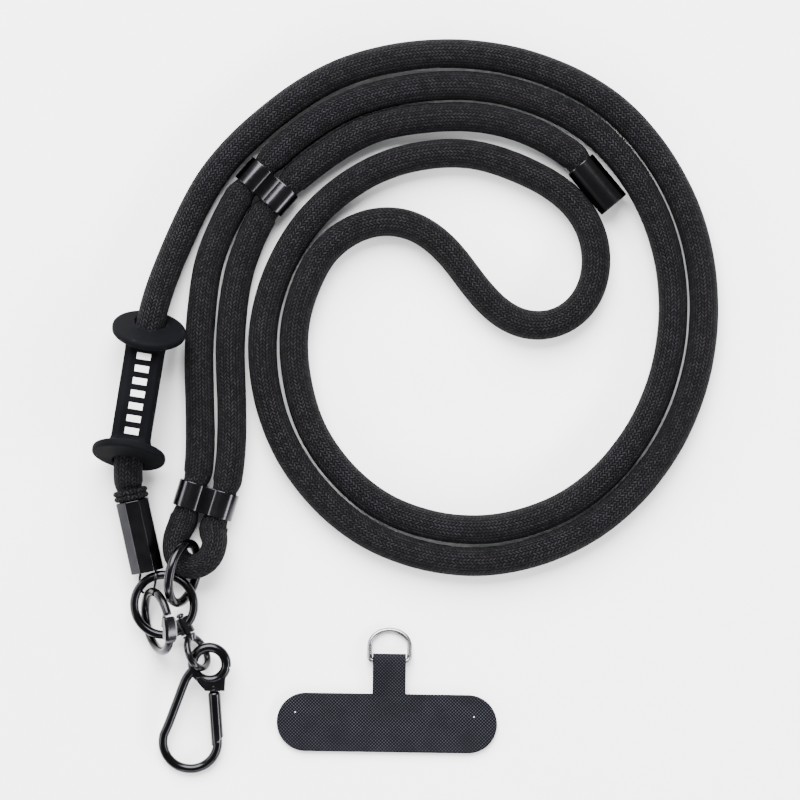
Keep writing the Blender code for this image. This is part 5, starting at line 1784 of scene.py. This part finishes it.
    def build_gate(self) -> bpy.types.Object:
        """Returns:
            The carabiner's gate.
        """
        pivot = self.flat(CARABINER_PIVOT)
        along = self.flat(GATE_AXIS_END) - pivot
        place = self.at(CARABINER_PIVOT, along)
        axis = place.to_3x3() @ Vector((1, 0, 0))
        stations = (
            (0.00128, 0.10), (0.00130, 0.40), (0.00140, 0.66), (0.00156, 0.82), (0.00178, 0.93), (0.00204, 0.985),
            (0.00235, 1.0), (0.0060, 1.0), (0.0110, 1.0), (along.length, 1.0),
        )
        points = [place.translation + x * axis for x, _ in stations]
        radii = [share * GATE_RADIUS for _, share in stations]
        up = (self.frame().to_3x3() @ UP).normalized()
        shape = Shape()
        shape.sweep(points, radii, 36, cuts=(None, self.cut(1)), square=up)
        half, thick = TONGUE[0] / 2, TONGUE[1] / 2
        rounded = [(-half * math.sin(math.pi * k / 16), half * math.cos(math.pi * k / 16)) for k in range(17)]
        shape.prism((*rounded, (0.0030, -half), (0.0030, half)), -thick, thick, place, 0.0001)
        return shape.piece("hook_bar", BLACK_NICKEL, Body.HOOK_GATE, "carabiner_gate")


def join(obj: bpy.types.Object, *others: bpy.types.Object) -> None:
    """Adds other objects' meshes to an object's own, and removes the others.

    Args:
        obj: the object.
        others: the others.
    """
    bm = bmesh.new()
    for one in (obj, *others):
        bm.from_mesh(one.data)
    bm.to_mesh(obj.data)
    bm.free()
    obj.data.shade_smooth()
    obj.data.set_sharp_from_angle(angle=math.radians(32))
    for other in others:
        bpy.data.objects.remove(other)


@dataclass
class PhoneTab:
    """The woven patch with its folded neck, and the D-ring in the fold."""

    ease: float = 0.0005

    def frame(self) -> Matrix:
        """Returns:
            The tab's frame.
        """
        return Matrix.Translation(TAB_CENTRE) @ Matrix.Rotation(TAB_ANGLE, 4, "Z")

    def pill(self, length: float, width: float, steps: int = 28) -> list[tuple[float, float]]:
        """Args:
            length: from end to end.
            width: across.
            steps: steps of each round end.

        Returns:
            Its corners.
        """
        radius = width / 2
        half = length / 2 - radius
        return [
            (side * half + radius * math.sin(angle) * side, radius * math.cos(angle) * side)
            for side in (1, -1) for angle in (math.pi * k / steps for k in range(steps + 1))
        ]

    def build(self) -> bpy.types.Object:
        """Returns:
            The patch and its neck.
        """
        frame = self.frame()
        shape = Shape()
        ease = self.ease
        layers = (
            (0.0, ease), (0.2 * ease, 0.4 * ease), (ease, 0.0), (TAB_THICKNESS - ease, 0.0),
            (TAB_THICKNESS - 0.3 * ease, 0.3 * ease), (TAB_THICKNESS, ease), (TAB_THICKNESS - 0.00005, 2.2 * ease),
            (TAB_THICKNESS, 3.2 * ease),
        )
        rings = [
            shape.loop(frame @ Vector((x, y, z)) for x, y in self.pill(TAB_LENGTH - 2 * inset, TAB_WIDTH - 2 * inset))
            for z, inset in layers
        ]
        for one, two in zip(rings, rings[1:]):
            shape.skin(one, two)
        shape.fill(rings[0])
        shape.fill(rings[-1])
        self.add_neck(shape, frame)
        return shape.piece("woven_tab", WEAVE, Body.STRAP, "phone_tab", bevel=0.00018)

    def add_neck(self, shape: Shape, frame: Matrix) -> None:
        """Adds the neck folded round the D-ring's bar.

        Args:
            shape: the tab's shape.
            frame: the tab's frame.
        """
        inner = D_RING_WIRE / 2 + GAP
        outer = inner + NECK_CLOTH
        bar, height, steps = D_RING_BAR, D_RING_HEIGHT, 20
        outside = [(NECK_START, 0.0001), (bar, 0.0001)]
        outside += [
            (bar + outer * math.sin(math.pi * k / steps), height - outer * math.cos(math.pi * k / steps))
            for k in range(1, steps + 1)
        ]
        outside += [
            (bar - 0.0020, height + outer - 0.0002), (bar - 0.0040, height + outer - 0.0009),
            (bar - 0.0068, height + outer - 0.0014), (NECK_START, TAB_THICKNESS),
        ]
        inside = [(bar - 0.0032, height + inner - 0.0011), (bar, height + inner)]
        inside += [
            (bar + inner * math.sin(math.pi * k / steps), height + inner * math.cos(math.pi * k / steps))
            for k in range(1, steps)
        ]
        inside += [(bar, height - inner), (bar - 0.0032, height - inner)]
        half = NECK_WIDTH / 2
        sides = [
            (
                shape.loop(frame @ Vector((NECK_OFFSET + x, y, z)) for y, z in outside),
                shape.loop(frame @ Vector((NECK_OFFSET + x, y, z)) for y, z in inside),
            )
            for x in (-half, half)
        ]
        for one, two in zip(sides[0], sides[1]):
            shape.skin(one, two)
        for rim, hole in sides:
            shape.fill(rim, hole)

    def build_ring(self) -> bpy.types.Object:
        """Returns:
            The D-ring.
        """
        frame = self.frame()
        radius = D_RING_WIRE / 2
        half = D_RING_WIDTH / 2 - radius
        bow = D_RING_REACH - D_RING_STRAIGHT
        drop = math.asin((D_RING_HEIGHT - radius - 0.00005) / D_RING_REACH)
        corner = 0.0011
        plan = [(half - corner + corner * math.sin(a), corner - corner * math.cos(a)) for a in
                (math.pi / 2 * k / 6 for k in range(7))]
        plan += [
            (half * math.cos(a), D_RING_STRAIGHT + bow * math.sin(a)) for a in (math.pi * k / 40 for k in range(41))
        ]
        plan += [(-half + corner - corner * math.cos(a), corner - corner * math.sin(a)) for a in
                 (math.pi / 2 * k / 6 for k in range(7))]
        points = [
            frame @ Vector((NECK_OFFSET + x, D_RING_BAR + y * math.cos(drop), D_RING_HEIGHT - y * math.sin(drop)))
            for x, y in plan
        ]
        shape = Shape()
        shape.sweep(points, [radius] * len(points), 20, True)
        return shape.piece("d_ring", GUNMETAL, Body.TAB_RING, "tab_d_ring")


@dataclass
class Studio:
    """Camera, floor and light."""

    middle: tuple[float, float] = (-0.00168, 0.00212)
    distance: float = 1.5
    width: float = 0.24

    def build_camera(self) -> None:
        """Puts the camera straight above."""
        data = bpy.data.cameras.new("camera")
        data.sensor_width = 36.0
        data.lens = 36.0 * self.distance / self.width
        camera = bpy.data.objects.new("camera", data)
        camera.location = (*self.middle, self.distance)
        bpy.context.scene.collection.objects.link(camera)
        bpy.context.scene.camera = camera

    def build_floor(self) -> None:
        """Lays the plain pale floor."""
        bm = bmesh.new()
        bmesh.ops.create_grid(bm, x_segments=8, y_segments=8, size=1.6)
        mesh = bpy.data.meshes.new("floor")
        bm.to_mesh(mesh)
        bm.free()
        mesh.materials.append(FLOOR.material())
        floor = bpy.data.objects.new("floor", mesh)
        bpy.context.scene.collection.objects.link(floor)

    def add_light(self, name: str, place: tuple[float, float, float], size: tuple[float, float], watts: float) -> None:
        """Adds a soft light aimed at the strap.

        Args:
            name: its name.
            place: where it is.
            size: its width and height.
            watts: its power.
        """
        data = bpy.data.lights.new(name, "AREA")
        data.shape = "RECTANGLE"
        data.size, data.size_y = size
        data.energy = watts
        lamp = bpy.data.objects.new(name, data)
        lamp.location = place
        lamp.rotation_euler = (-Vector(place)).to_track_quat("-Z", "Y").to_euler()
        bpy.context.scene.collection.objects.link(lamp)

    def build_lights(self) -> None:
        """Adds the studio's light: a large key above, boxes and strips round it, and a dim even sky."""
        self.add_light("key", (-0.35, 2.05, 2.00), (2.6, 2.6), 570.0)
        self.add_light("left_box", (-1.05, 0.05, 0.42), (1.1, 0.3), 16.0)
        self.add_light("right_strip", (0.88, -0.38, 0.50), (1.0, 0.22), 20.0)
        self.add_light("low_strip", (0.1, -0.95, 0.45), (0.9, 0.16), 9.0)
        world = bpy.data.worlds.new("sky")
        world.use_nodes = True
        background = world.node_tree.nodes["Background"]
        background.inputs[0].default_value = (0.97, 0.98, 1.0, 1.0)
        background.inputs[1].default_value = 0.54
        bpy.context.scene.world = world


def main() -> None:
    """Builds the camera and the cord first, then the rest of the strap, the tab and the studio."""
    logging.basicConfig(level=logging.INFO, format="%(name)s %(message)s")
    studio = Studio()
    studio.build_camera()
    cord = Cord()
    rope, path, length = cord.build()
    folds = cord.build_folds()
    ends = CordEnds()
    tail = ends.build_tail_cap()
    ends.build_end_cap()
    ends.build_bail()
    sliders = [
        Slider("top_slider", "upper_slider", UPPER_SLIDER_CENTRE, UPPER_SLIDER_ANGLE).build(),
        Slider("bottom_slider", "lower_slider", LOWER_SLIDER_CENTRE, LOWER_SLIDER_ANGLE).build(),
    ]
    tag = Tag().build()
    rings = Rings()
    rings.build_main_ring()
    rings.build_link_ring()
    snap = Snap()
    snap.build()
    snap.build_gate()
    hook = Hook()
    hook.build_swivel()
    hook.build_carabiner()
    hook.build_gate()
    tab = PhoneTab()
    patch = tab.build()
    tab.build_ring()
    studio.build_floor()
    studio.build_lights()


if __name__ == "__main__":
    main()
